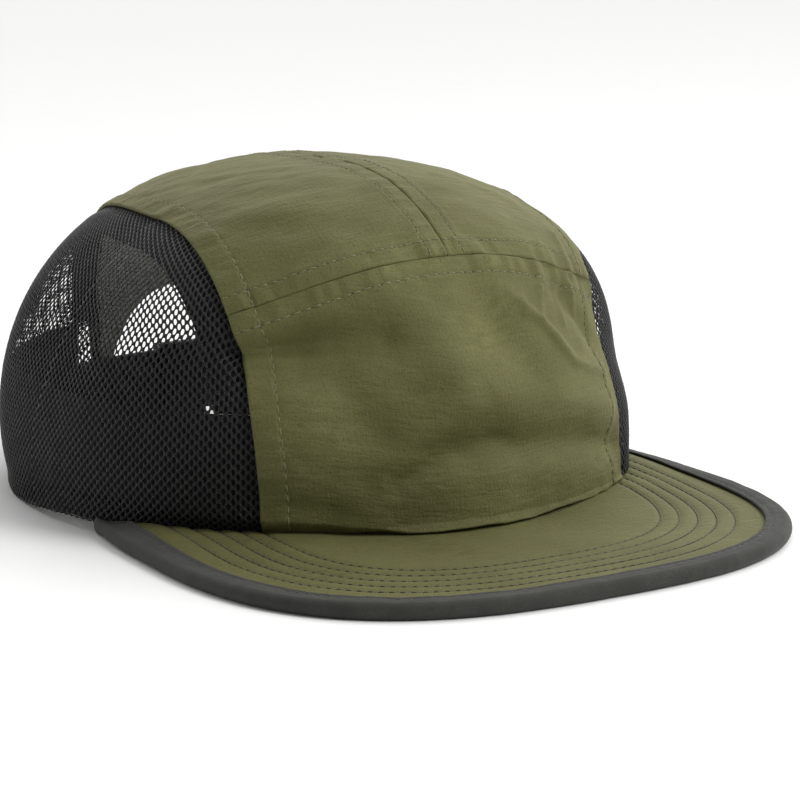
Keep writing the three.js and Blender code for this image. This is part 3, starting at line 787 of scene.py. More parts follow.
# The front panel: t runs from one side seam to the other, v from the hem to the seam above.
def frontPanel():
    look = {**panelLook, **frontLook}
    fine, coarse = look["fine"], look["coarse"]
    t = gradedSteps(look["width"], fine, coarse, look["sideMargin"]) * 2 - 1
    v = gradedSteps(look["height"], fine, coarse, look["endMargin"])
    end = frontSeamPhi(t)
    phi = evenPhi(angleOf(end)[None, :] * v[:, None])
    lam = t[None, :] * seamLam(phi)

    # the sum of the seams' relief, the puckers, the gathers and the crumple between them
    def relief(base, across, down):
        width = across[:, -1:]
        side = np.minimum(across, width - across)
        top = down[-1:] - down
        sideRun = np.broadcast_to(down, side.shape)
        middle = across - width / 2
        left = smooth((middle - look["leftFrom"]) / look["leftOver"])
        height = seamRelief(side, sideRun, look["stripWidth"], look["stripRaise"],
                            look["stripWidth"])
        height = height + seamRelief(top, middle, look["bandWidth"], look["bandRaise"],
                                     look["bandStitch"])
        height = height + puckers(top, middle, look["bandStitch"], 11,
                                  look["puckerTop"] + look["puckerLeft"] * left)
        height = height + puckers(side, sideRun, look["stripWidth"], 21, look["puckerSide"])
        foot = down + 0 * across
        gathers = softNoise(middle / look["gatherPitch"], foot / look["gatherFall"], 31)
        gathers = gathers * np.exp(-(foot / look["gatherReach"]) ** 2)
        uneven = 1 - look["gatherLeft"] + look["gatherLeft"] * left
        gathers = gathers * smooth(foot / look["gatherClear"]) * uneven
        height = height + look["gather"] * gathers
        margin = look["crumpleMargin"]
        edge = smooth(side / margin) * smooth(top / margin) * smooth(foot / margin)
        height = height + edge * crumple(middle, down, 41)
        return height, {"left": width - across, "right": across, "top": top}

    outer, normals, fields = layPanel("front_panel", phi, lam, relief)
    for key in ("left", "right"):
        sideSewing.along(*traceLine(outer, normals, fields[key], look["stripWidth"], 1))
    bandSewing.along(*traceLine(outer, normals, fields["top"], look["bandStitch"], 0))


topLook = {
    "width": 56, "length": 205, "coarse": (0.9, 1.0), "sideMargin": 8, "endMargin": 6,
    "hemStitch": 6.0, "hemBand": 6.5,  # the hem over the opening is wider than a seam
    "puckerFront": 0.9, "puckerElsewhere": 0.6,
}


# Half of the top: t runs from the middle to the side seam, v from the front seam to the back
# end, with more columns at the side, where the opening's edge is steep.
def topPanel(word, side):
    look = {**panelLook, **topLook}
    fine, (acrossStep, downStep) = look["fine"], look["coarse"]
    foot = openingHalfWidth / (openingHalfWidth + seams["openingMargin"])
    spread = foot * np.sin(np.linspace(0.72, 1, 12) * math.pi / 2)
    t = gradedSteps(look["width"], fine, acrossStep, look["sideMargin"])
    t = np.unique(np.round(np.concatenate([t, spread]), 4))
    v = gradedSteps(look["length"], fine, downStep, look["endMargin"])
    start, end = frontSeamPhi(t), panelEndPhi(t)
    phi = evenPhi(angleOf(start) + (angleOf(end) - angleOf(start)) * v[:, None])
    lam = side * t[None, :] * seamLam(phi)

    # the sum of the four seams' relief, the puckers along them and the crumple between them
    def relief(base, across, down):
        outerSide, centre = across[:, -1:] - across, across
        front, back = down, down[-1:] - down
        strip, band, hem = look["stripWidth"], look["bandStitch"], look["hemStitch"]
        height = seamRelief(outerSide, down, strip, look["stripRaise"], strip)
        for distance, run in ((centre, down), (front, across)):
            height = height + seamRelief(distance, run, look["bandWidth"], look["bandRaise"], band)
        height = height + seamRelief(back, across, look["hemBand"], look["stripRaise"], hem)
        for distance, run, stitch, seed, strength in (
                (front, across * side, band, 61, look["puckerFront"]),
                (centre, down, band, 71, look["puckerElsewhere"]),
                (outerSide, down, strip, 81, look["puckerElsewhere"]),
                (back, across, hem, 91, look["puckerElsewhere"])):
            height = height + puckers(distance, run, stitch, seed + side, strength)
        clear = [smooth(distance / look["crumpleMargin"])
                 for distance in (outerSide, centre, front, back)]
        height = height + math.prod(clear) * crumple(across, down, 51 + side)
        return height, {"side": outerSide, "centre": centre, "front": front, "back": back}

    outer, normals, fields = layPanel(f"top_panel_{word}", phi, lam, relief)
    for sewing, key, stitch, axis in ((sideSewing, "side", "stripWidth", 1),
                                      (bandSewing, "centre", "bandStitch", 1),
                                      (bandSewing, "front", "bandStitch", 0),
                                      (bandSewing, "back", "hemStitch", 0)):
        sewing.along(*traceLine(outer, normals, fields[key], look[stitch], axis))


frontPanel()
topPanel("left", 1)
topPanel("right", -1)
sideSewing.finish("nylon")
bandSewing.finish("nylon")
print("stage: nylon panels sewn")


netLook = {
    "along": 2.66, "up": 2.7, "lean": 0.22, "holeWidth": 1.06, "holeHeight": 1.72,
    "yarn": 0.16, "knot": 0.22, "inset": 0.35, "seamInset": 0.98, "seamReach": 5,
    "underStrip": 3.2, "turnUp": 7.5, "turnRadius": 0.5,
    # what the cloth's table and lattice cover: angles round the crown, heights and lengths
    "tauFrom": 0.58, "tauTo": 2.89, "foot": 3.2, "head": 87,
    "widest": 262, "highest": 112, "rowsTo": 108,
    "wobble": 0.04, "wobblePitch": 1.7, "uneven": 0.07,
}


# A table from cloth coordinates (run along the hem and height up from it, in mm) to places on
# the crown, made by measuring lengths on a fine grid and reading it backwards.
def netTable(side):
    tau = np.linspace(netLook["tauFrom"], netLook["tauTo"], 260)
    heights = np.concatenate([[0], np.linspace(netLook["foot"], netLook["head"], 100)])
    phi, lam = levelPlace(side * tau[:, None], heights[None, :])
    points = crownPoint(phi, lam)
    rise = np.cos(lam) * np.sin(phi)
    run, climb = runLength(points, 0), runLength(points, 1)
    leaned = run + netLook["lean"] * run / run[-1, 0] * climb
    steps = np.arange(0, netLook["highest"], 1.0)
    byHeight = lambda grid: np.stack(
        [np.interp(steps, climb[k], grid[k]) for k in range(len(tau))])
    runAt, riseAt = byHeight(leaned), byHeight(rise)
    runs = np.arange(0, netLook["widest"], 1.0)
    readBack = lambda values: np.stack(
        [np.interp(runs, runAt[:, k], values[:, k]) for k in range(len(steps))], 1)
    tauTable = readBack(np.broadcast_to(tau[:, None], runAt.shape))
    riseTable = readBack(riseAt)
    reach = np.array([runAt[:, k].max() for k in range(len(steps))])
    top = climb[:, -1].max()
    return tauTable, riseTable, reach, top


# A place read from that table, blended between its four nearest entries.
def netPlace(table, side, run, height):
    tauTable, riseTable = table[:2]
    u = np.clip(run, 0, tauTable.shape[0] - 1.001)
    v = np.clip(height, 0, tauTable.shape[1] - 1.001)
    i, j = u.astype(int), v.astype(int)
    du, dv = u - i, v - j
    read = lambda grid: ((grid[i, j] * (1 - du) + grid[i + 1, j] * du) * (1 - dv)
                         + (grid[i, j + 1] * (1 - du) + grid[i + 1, j + 1] * du) * dv)
    rise = np.clip(read(riseTable), 0, 0.995)
    return placeOf(np.sqrt(1 - rise * rise) * np.cos(read(tauTable)), rise, side)


# Millimetres from a place to the side seam, positive on the net's side of it.
def pastSeam(phi, lam):
    step = 0.002
    away = np.abs(lam)
    run = np.linalg.norm(crownPlain(phi, away + step) - crownPlain(phi, away - step), axis=-1)
    return (away - seamLam(phi)) * run / (2 * step)


# The net is a lattice of diamond cells, each with an oval hole. A cell's eight border points are
# shared with its neighbours: they carry the yarn's ridge above and below, and the eight points
# of the hole lie between, so that each strand is a rounded bar.
def sideNet(word, side):
    look = netLook
    table = netTable(side)
    columns = np.arange(0, int(2 * look["widest"] / look["along"]))
    rows = np.arange(-int(2 * look["turnUp"] / look["up"]), int(2 * look["rowsTo"] / look["up"]))
    i, j = (item.ravel() for item in np.meshgrid(columns, rows, indexing="ij"))
    even = (i + j) % 2 == 0
    i, j = i[even], j[even]

    # a place on the cloth, which folds inwards and up again in a half circle at the hem, and
    # sinks under the panel at the seam
    def layAt(run, height, out):
        radius = look["turnRadius"]
        turn = np.clip((radius - height) / radius, 0, math.pi)
        folded = np.where(height > radius, height, radius * (1 - np.sin(turn)))
        past = np.maximum(0, (radius - height) / radius - math.pi)
        folded = folded + past * radius
        phi, lam = netPlace(table, side, run, folded)
        facing = np.where(turn > 0, np.cos(turn), 1)
        seam = pastSeam(phi, lam)
        under = (look["seamInset"] - look["inset"]) * (1 - smooth(seam / look["seamReach"]))
        inset = look["inset"] + under + radius * (1 - np.cos(turn)) - out * facing
        drop = out * np.sin(turn)
        point = crownPoint(phi, lam, inset)
        point[..., 2] = np.maximum(point[..., 2] - np.where(turn < math.pi, drop, 0), 0.02)
        return point

    centreRun, centreHeight = i * look["along"] / 2, j * look["up"] / 2
    phi, lam = netPlace(table, side, centreRun, np.abs(centreHeight))
    limit = np.interp(np.abs(centreHeight), np.arange(len(table[2])), table[2])
    keep = ((pastSeam(phi, lam) > -look["underStrip"]) & (centreRun < limit - 1)
            & (centreRun > 1) & (centreHeight < table[3] - 2))
    i, j = i[keep], j[keep]

    around = np.array([(2, 0), (1, 1), (0, 2), (-1, 1), (-2, 0), (-1, -1), (0, -2), (1, -1)])
    border = np.stack([2 * i, 2 * j], -1)[:, None] + around
    stride, before, below = 100000, 10, 5000  # one whole number for each border point
    keys = (border[..., 0] + before) * stride + border[..., 1] + below
    unique, number = np.unique(keys.ravel(), return_inverse=True)
    number = number.reshape(keys.shape)
    keyRun = (unique // stride - before) * look["along"] / 4
    keyHeight = (unique % stride - below) * look["up"] / 4
    cross = (unique // stride) % 2 == 0
    pitch = look["wobblePitch"]
    wobble = look["wobble"] * softNoise(keyRun / pitch, keyHeight / pitch, 5)
    ridge = np.where(cross, look["knot"], look["yarn"]) + wobble
    top, bottom = layAt(keyRun, keyHeight, ridge), layAt(keyRun, keyHeight, -ridge)

    angle = np.arange(8) * math.pi / 4
    vary = 1 + look["uneven"] * softNoise(i * 0.37, j * 0.41, 9)[:, None]
    holeRun = (i * look["along"] / 2)[:, None] + np.cos(angle) * look["holeWidth"] / 2 * vary
    holeHeight = (j * look["up"] / 2)[:, None] + np.sin(angle) * look["holeHeight"] / 2 * vary
    hole = layAt(holeRun, holeHeight, np.zeros_like(holeRun))

    points = np.concatenate([top, bottom, hole.reshape(-1, 3)])
    count = len(unique)
    inner = 2 * count + np.arange(len(i))[:, None] * 8 + np.arange(8)
    after, innerAfter = np.roll(number, -1, 1), np.roll(inner, -1, 1)
    upper = np.stack([number, after, innerAfter, inner], -1).reshape(-1, 4)
    lower = np.stack([after + count, number + count, inner, innerAfter], -1).reshape(-1, 4)
    # a wall closes each edge that only one cell has
    edges = np.stack([number, after], -1).reshape(-1, 2)
    ordered = np.sort(edges, 1)
    tag = ordered[:, 0].astype(np.int64) * count + ordered[:, 1]
    tags, where, times = np.unique(tag, return_index=True, return_counts=True)
    a, b = edges[where[times == 1]].T
    walls = np.stack([b, a, a + count, b + count], -1)
    faces = [part if side > 0 else part[:, ::-1] for part in (upper, lower, walls)]
    addPiece(f"side_net_{word}_knit", points, faces, net, (f"side_net_{word}",),
             solid=False)
    print(f"stage: {word} net knitted in {len(i)} cells")


sideNet("left", 1)
sideNet("right", -1)


brimLook = {
    # rows of stitches: the first one's distance from the edge, the step to the next, how many
    "firstRow": 13.4, "rowStep": 4.5, "rowCount": 5,
    "groove": 0.26, "grooveWidth": 0.65, "pillow": 0.08, "waver": 0.06, "waverPitch": 9,
    "pitch": 2.65, "stitchShare": 0.86, "thread": {"radius": 0.2, "lift": 0.1, "holeRadius": 0.28},
    # the brim rises a little where it meets the crown, more at the sides than in the middle
    # and a little less below than above
    "domeMiddle": 0.6, "domeSides": 2.2, "domeHalf": 60, "domeReach": 20, "domeUnder": 0.8,
}
brimRows = brimLook["firstRow"] + brimLook["rowStep"] * np.arange(brimLook["rowCount"])


# The brim's outline drawn in by an inset: a superellipse deeper behind its widest line.
def brimLoop(angle, inset):
    across, along = np.sin(angle), np.cos(angle)
    depth = np.where(along > 0, brimFront + brim["widestY"], brim["rearDepth"]) - inset
    power = 2 / brim["squareness"]
    return np.stack([(brim["halfWidth"] - inset) * signedPower(across, power),
                     brim["widestY"] - depth * signedPower(along, power)], -1)


# The line on which the brim meets the crown, a little above the hem.
hemTau = np.linspace(0, math.pi, 1500)
hemPlace = levelPlace(hemTau, brim["stack"])
hemLine = (crownPlain(*hemPlace) + gap * crownOutward(*hemPlace))[:, :2]


# The dome: a height blended from the middle to the sides, with a Gaussian fall away from the
# crown's hem and none at the edge.
def brimDome(flat, inset):
    look = brimLook
    shape = flat.shape[:-1]
    x, y = np.abs(flat[..., 0]).ravel(), flat[..., 1].ravel()
    line = hemLine[::6]
    away = np.min((x[:, None] - line[:, 0]) ** 2 + (y[:, None] - line[:, 1]) ** 2, 1)
    share = smooth(x / look["domeHalf"])
    height = look["domeMiddle"] + (look["domeSides"] - look["domeMiddle"]) * share
    height = height * np.exp(-away / look["domeReach"] ** 2)
    return height.reshape(shape) * smooth((np.broadcast_to(inset, shape) - 2) / 8)


# The angle at which each drawn-in outline meets the crown's hem.
def brimEnd(inset):
    angle = np.linspace(0, 0.95 * math.pi, 3000)
    loop = brimLoop(angle[None, :], np.asarray(inset, float)[:, None])
    side = np.interp(loop[..., 1], hemLine[:, 1], hemLine[:, 0], left=-1)
    clear = loop[..., 0] - side
    first = np.argmax(clear < 0, 1)
    rows = np.arange(len(first))
    before = np.maximum(first - 1, 0)
    a, b = clear[rows, before], clear[rows, first]
    share = np.where(first > 0, a / np.maximum(a - b, 1e-9), 0)
    return np.clip(angle[before] + share * (angle[first] - angle[before]), 1e-4, None)


# The covered plate: drawn-in outlines from the edge to the crown, finer beside the stitches. A
# Gaussian groove runs at each row and a cosine pillow between the rows.
def brimSheet():
    look = brimLook
    near = np.array([0, 0.28, 0.6, 1.1, 1.9, 3.0])
    marks = np.concatenate([brimRows[:, None] + near, brimRows[:, None] - near]).ravel()
    deepest = crossing(40.0, 80.0, lambda inset: brimLoop(0.0, inset)[1] - hemLine[0, 1])
    inner = np.concatenate([np.arange(36, deepest - 7, 1.3), deepest - np.geomspace(7, 0.02, 16)])
    outer = np.arange(1.6, 11, 1.3)
    inset = np.unique(np.round(np.concatenate([marks, inner, outer]), 3))
    end = brimEnd(inset)
    share = np.linspace(-1, 1, 321)
    flat = brimLoop(end[:, None] * share[None, :], inset[:, None])
    depth = np.broadcast_to(inset[:, None], flat.shape[:2])
    sag = np.zeros(flat.shape[:2])
    for row in brimRows:
        sag = sag - look["groove"] * np.exp(-((depth - row) / look["grooveWidth"]) ** 2)
    step, pitch = look["rowStep"], look["waverPitch"]
    between = smooth((depth - brimRows[0] + step) / 3) * smooth((brimRows[-1] + step - depth) / 3)
    sag = sag - look["pillow"] * between * np.cos(2 * math.pi * (depth - brimRows[0]) / step)
    sag = sag + look["waver"] * softNoise(flat[..., 0] / pitch, flat[..., 1] / pitch, 14)
    dome = brimDome(flat, depth)
    top = np.concatenate([flat, (brim["top"] + sag + dome)[..., None]], -1)
    low = np.concatenate([flat, (brim["under"] - sag + look["domeUnder"] * dome)[..., None]], -1)
    points, faces = closedSheets(top, low)
    cloth = np.concatenate([flat, flat])
    addPiece("brim_cloth", points, faces, nylon, ("brim",), cloth)


# The rows of stitches on both faces, in the bottom of their grooves.
def brimSewing():
    look = brimLook
    thread = {**look["thread"], "pitch": look["pitch"],
              "length": look["stitchShare"] * look["pitch"]}
    sewings = (Sewing("brim_stitches", darkThread, thread),
               Sewing("brim_under_stitches", darkThread, {**thread, "rings": 4}))
    heights = (brim["top"] - look["groove"], brim["under"] + look["groove"])
    for inset, end in zip(brimRows, brimEnd(brimRows)):
        flat = brimLoop(np.linspace(-end, end, 1200), inset)
        dome = brimDome(flat, inset)
        for sewing, height, up, share in zip(sewings, heights, (1.0, -1.0),
                                             (1, look["domeUnder"])):
            points = np.concatenate([flat, (height + share * dome)[:, None]], -1)
            sewing.along(points, np.broadcast_to((0.0, 0.0, up), points.shape))
    for sewing in sewings:
        sewing.finish("nylon")


bindingLook = {
    "width": 7, "narrowest": 1.8, "wall": 0.8, "nose": 2.0, "noseShare": 0.55, "stitch": 1.6,
    # how far its inner edge reaches past the hem's line, and the angle left free at its ends
    "tuckedIn": 0.6, "endGap": 0.004,
    # its face from the inner edge outwards: how far in, and how high over the plain face, which
    # gives a rounded edge and a groove at the stitches
    "faceIn": (0.0, 0.2, 0.6, 1.1, 1.6, 2.1, 2.6, 3.3, 4.0, 4.6),
    "faceUp": (-0.4, -0.12, 0.0, -0.12, -0.32, -0.12, 0.04, 0.08, 0.07, 0.03),
    "wavers": ((0.1, 7, 5, 17), (0.06, 2.4, 3, 18)),  # height, pitch along and across, seed
    "thread": {"radius": 0.19, "lift": 0.08, "pitch": 2.8, "length": 2.2, "holeRadius": 0.28},
}


# The binding: a U section round the brim's edge, with a half round nose, carried along the
# outline and narrowed where it runs in under the crown.
def bindingPiece():
    look = bindingLook
    stack, wall = brim["stack"], look["wall"]
    end = float(brimEnd(np.array([0.0]))[0])
    angle = np.linspace(-1, 1, 521) * (end - look["endGap"])
    edge = brimLoop(angle, 0.0)
    ahead = np.gradient(edge, axis=0)
    ahead /= np.linalg.norm(ahead, axis=-1, keepdims=True)
    inward = np.stack([-ahead[:, 1], ahead[:, 0]], -1)
    line = hemLine[::3]
    room = np.sqrt(np.min((np.abs(edge[:, :1]) - line[:, 0]) ** 2
                          + (edge[:, 1:] - line[:, 1]) ** 2, 1))
    width = np.clip(room + look["tuckedIn"], look["narrowest"], look["width"])[:, None]
    nose = np.minimum(look["nose"], look["noseShare"] * width)

    sweep = np.linspace(math.pi / 2, -math.pi / 2, 15)
    topIn, topOut = np.array(look["faceIn"]), np.array(look["faceUp"])
    topInward = np.maximum(width - topIn, nose * 1.02 + 0.02 * (5 - topIn))
    topUp = np.broadcast_to(stack - 0.08 + topOut, topInward.shape)
    noseInward = nose * (1 - np.cos(sweep))
    noseUp = np.broadcast_to(stack / 2 * (1 + np.sin(sweep)), noseInward.shape)
    lining = [(0.0, wall), (1.0, wall), (None, wall), (None, stack - wall), (1.0, stack - wall),
              (0.0, stack - wall)]
    liningInward = np.concatenate([np.full_like(width, wall) if depth is None else
                                   np.maximum(width - depth, wall) for depth, up in lining], 1)
    liningUp = np.broadcast_to([up for depth, up in lining], liningInward.shape)
    inwards = np.concatenate([topInward, noseInward, topInward[:, ::-1], liningInward], 1)
    ups = np.concatenate([topUp, noseUp, stack - topUp[:, ::-1], liningUp], 1)
    run = runLength(edge, 0)[:, None]
    wave = sum(height * softNoise(run / long, inwards / wide, seed)
               for height, long, wide, seed in look["wavers"])
    outerPart = np.arange(inwards.shape[1]) < topIn.size * 2 + sweep.size
    ups = ups + np.where(outerPart, wave, 0) * np.sign(ups - stack / 2)
    ups = np.clip(ups, 0, stack + 0.3)
    flat = edge[:, None] + inward[:, None] * inwards[..., None]
    under = brimLook["domeUnder"]
    ups = ups + brimDome(flat, inwards) * np.where(ups > stack / 2, 1, under)
    points = np.concatenate([flat, ups[..., None]], -1)
    sections, sides = points.shape[:2]
    a = np.arange(sections - 1)[:, None] * sides + np.arange(sides)
    b = np.arange(sections - 1)[:, None] * sides + (np.arange(sides) + 1) % sides
    quads = np.stack([a, b, b + sides, a + sides], -1).reshape(-1, 4)
    # one face closes each end
    close = np.arange(sides)[None]
    faces = [quads, close[:, ::-1], close + (sections - 1) * sides]
    cloth = np.stack([run + 0 * inwards, inwards], -1)
    addPiece("brim_binding_tape", points, faces, bindingTape, ("brim_binding",), cloth)

    sewing = Sewing("binding_stitches", charcoalThread, look["thread"])
    inset = width[:, 0] - look["stitch"]
    line = edge + inward * inset[:, None]
    dome = brimDome(line, inset)
    keep = width[:, 0] > 5
    for height, up, share in ((stack - 0.4, 1.0, 1), (0.4, -1.0, under)):
        path = np.concatenate([line, (height + share * dome)[:, None]], -1)[keep]
        sewing.along(path, np.broadcast_to((0.0, 0.0, up), path.shape))
    sewing.finish("binding")


brimSheet()
brimSewing()
bindingPiece()
print("stage: brim bound")


# Where the hem behind the crown's widest line is a given distance from the middle plane.
def hemTauAt(halfWidth):
    return float(crossing(math.pi / 2, math.pi, lambda tau: halfWidth - crownPlain(
        *placeOf(np.cos(tau), np.zeros_like(tau), 1))[..., 0]))


# "seat" is how far the strap reaches past the opening, on each side
strapLook = {"width": 20, "thickness": 1.5, "rise": 3, "seat": 12, "roll": 0.3}
bandLook = {
    "height": 36.5, "thickness": 1.2, "puff": 0.16, "puffPitch": 14, "foot": 0.3, "head": 0.35,
    "groove": 0.3, "grooveAt": 0.9, "grooveWidth": 0.012,
}


# The sweatband: rows from the hem up to one height, set in by the wall, rolled in at foot and
# head, with a Gaussian groove at its stitches. It ends just short of the strap's ends.
def sweatband():
    look = bandLook
    end = hemTauAt(openingHalfWidth + strapLook["seat"] + gap)
    tau = np.linspace(-end, end, 241)
    low = crownPlain(*placeOf(np.cos(tau), np.zeros_like(tau), 1))[:, 2]
    share = np.array([0, 0.01, 0.03, 0.06, 0.09, 0.14, 0.25, 0.4, 0.55, 0.7, 0.82, 0.88, 0.9,
                      0.92, 0.95, 0.98, 0.995, 1])
    height = low[None, :] + (look["height"] - low)[None, :] * share[:, None]
    phi, lam = levelPlace(np.broadcast_to(tau, height.shape), height)
    run = runLength(crownPoint(phi[8], lam[8]), 0)
    puff = look["puff"] * softNoise(run[None, :] / look["puffPitch"], share[:, None] * 4, 23)
    roll = np.where(share > 0.98, look["head"], 0) + np.where(share < 0.02, look["foot"], 0)
    groove = look["groove"] * np.exp(-((share - look["grooveAt"]) / look["grooveWidth"]) ** 2)
    outer = crownPoint(phi, lam, wallDepth + roll[:, None])
    inner = crownPoint(phi, lam, wallDepth + look["thickness"] - roll[:, None]
                       - groove[:, None] + puff * smooth(share * 8)[:, None])
    points, faces = closedSheets(outer, inner)
    cloth = np.stack([run[None, :] + 0 * height, height], -1)
    addPiece("sweatband_knit", points, faces, knit, ("sweatband",),
             np.concatenate([cloth, cloth]))
    sewing = Sewing("sweatband_stitches", blackThread, {"rings": 4})
    row = int(np.flatnonzero(share == look["grooveAt"])[0])
    sewing.along(inner[row], -crownOutward(phi[row], lam[row]))
    sewing.finish("band")


tapeLook = {"width": 12, "thickness": 0.8, "overPanel": 2, "roll": 0.25}


# A tape of even width along a side seam, cut off level above the sweatband at both ends.
def seamTapes(word, side):
    look = tapeLook
    shift = lambda phi, distance: seamLam(phi) + distance * 2 * 0.001 / np.linalg.norm(
        crownPlain(phi, seamLam(phi) + 0.001) - crownPlain(phi, seamLam(phi) - 0.001), axis=-1)
    clear = bandLook["height"] + 0.05
    v = np.array([0, 0.03, 0.1, 0.2, 0.35, 0.5, 0.65, 0.8, 0.9, 0.97, 1])
    distance = v * look["width"] - look["overPanel"]
    heightAt = lambda phi: crownPlain(phi, shift(phi, distance))[..., 2]
    flat, upright = np.zeros(len(v)), np.full(len(v), math.pi / 2)
    start = angleOf(crossing(flat, upright, lambda phi: heightAt(phi) - clear))
    climb = crossing(flat, upright, lambda angle: heightAt(math.pi - angle) - clear)
    along = np.linspace(0, 1, 181)[:, None]
    phi = evenPhi(start * (1 - along) + angleOf(math.pi - climb) * along)
    lam = side * shift(phi, distance)
    roll = look["roll"] * (np.abs(v - 0.5) > 0.49)
    outer = crownPoint(phi, lam, wallDepth + roll)
    inner = crownPoint(phi, lam, wallDepth + look["thickness"] - roll)
    points, faces = closedSheets(outer, inner)
    cloth = np.stack([runLength(outer, 0), v * look["width"] + 0 * phi], -1)
    addPiece(f"seam_tape_{word}_weave", points, faces, seamTape, (f"seam_tape_{word}",),
             np.concatenate([cloth, cloth]))
    sewing = Sewing(f"tape_stitches_{word}", blackThread, {"rings": 4})
    for column in (2, 8):  # a tenth of the width in from each border
        sewing.along(inner[:, column], -crownOutward(phi[:, column], lam[:, column]))
    sewing.finish("band")


# The strap: level rows round the back between two heights, each row blended straight from the
# lowest to the highest so that the webbing lies flat across its width, with its borders rolled.
def backStrap():
    look = strapLook
    end = hemTauAt(openingHalfWidth + look["seat"])
    offset = np.linspace(-1, 1, 141) * (math.pi - end)
    tau = np.where(offset < 0, math.pi + offset, offset - math.pi)
    v = np.array([0, 0.012, 0.05, 0.15, 0.3, 0.5, 0.7, 0.85, 0.95, 0.988, 1])
    height = look["rise"] + v[:, None] * look["width"] + 0 * tau[None, :]
    phi, lam = levelPlace(np.broadcast_to(tau, height.shape), height)
    roll = look["roll"] * (np.abs(v - 0.5) > 0.495)[:, None]
    flatEnds = [crownPoint(phi[[0, -1]], lam[[0, -1]], wallDepth + depth)
                for depth in (0, look["thickness"])]
    lay = [ends[0] * (1 - v[:, None, None]) + ends[1] * v[:, None, None] for ends in flatEnds]
    outward = crownOutward(phi[5], lam[5])[None]
    outer, inner = lay[0] - outward * roll[..., None], lay[1] + outward * roll[..., None]
    points, faces = closedSheets(outer, inner)
    cloth = np.stack([runLength(outer, 1), height], -1)
    addPiece("back_strap_webbing", points, faces, webbing, ("back_strap",),
             np.concatenate([cloth, cloth]))


slideLook = {"length": 14, "wall": 1.6, "clearance": 0.7, "ringRadius": 0.95, "wallRadius": 0.45}


# The slide: a rounded rectangle carried round a rounded rectangular ring about the strap.
def strapSlide():
    look = slideLook
    strapAt = lambda rise: crownPoint(*levelPlace(math.pi, strapLook["rise"] + rise),
                                      wallDepth + strapLook["thickness"] / 2)
    low, high = strapAt(0.0), strapAt(float(strapLook["width"]))
    middle = (low + high) / 2
    lean = math.atan2(high[1] - low[1], high[2] - low[2])
    wall, long = look["wall"], look["length"]
    halfY = strapLook["thickness"] / 2 + look["clearance"] + wall / 2
    halfZ = strapLook["width"] / 2 + look["clearance"] + wall / 2

    # a quarter circle at each corner, one after the other
    def roundedLoop(halfU, halfV, radius, per):
        turn = np.linspace(0, math.pi / 2, per)
        corners = [(halfU - radius, halfV - radius, 0), (radius - halfU, halfV - radius, 1),
                   (radius - halfU, radius - halfV, 2), (halfU - radius, radius - halfV, 3)]
        return np.concatenate([np.stack([u + radius * np.cos(turn + k * math.pi / 2),
                                         v + radius * np.sin(turn + k * math.pi / 2)], -1)
                               for u, v, k in corners])

    ring = roundedLoop(halfY, halfZ, look["ringRadius"], 7)
    away = np.gradient(np.concatenate([ring[-1:], ring, ring[:1]]), axis=0)[1:-1]
    away = np.stack([away[:, 1], -away[:, 0]], -1)
    away /= np.linalg.norm(away, axis=-1, keepdims=True)
    section = roundedLoop(wall / 2, long / 2, look["wallRadius"], 5)
    yz = ring[:, None] + away[:, None] * section[None, :, :1]
    x = np.broadcast_to(section[None, :, 1:], (*yz.shape[:2], 1))
    local = np.concatenate([x, yz], -1)
    turned = np.stack([local[..., 0],
                       local[..., 1] * math.cos(lean) + local[..., 2] * math.sin(lean),
                       -local[..., 1] * math.sin(lean) + local[..., 2] * math.cos(lean)], -1)
    points = turned + middle
    m, n = points.shape[:2]
    i, j = np.meshgrid(np.arange(m), np.arange(n), indexing="ij")
    number = lambda a, b: (a % m) * n + b % n
    quads = np.stack([number(i, j), number(i + 1, j), number(i + 1, j + 1), number(i, j + 1)], -1)
    addPiece("strap_slide_moulding", points, [quads.reshape(-1, 4)], acetal,
             ("strap_slide",))


sweatband()
seamTapes("left", 1)
seamTapes("right", -1)
backStrap()
strapSlide()
print("stage: inside finished")


stageLook = {
    "floorHalf": 40,
    "floor": {"shader": {"Roughness": 0.95}, "patterns": {"grain": (40, 2, 0.5)},
              "colours": (("grain", 0, 1, "#F9F9F8", "#FCFCFB"),)},
    # a wide soft glow in the sky from the right and above, over a low level all round
    "glows": (((0.75, 0.35, 0.75), 2.15, 3), ((-0.3, 1.0, 0.35), 1.0, 4)), "around": 0.2,
    "softboxPlace": (0.72, -1.0, 1.1), "softboxAim": (0, 0, 0.05), "softboxSize": 0.7,
    "softboxPower": 14,
}


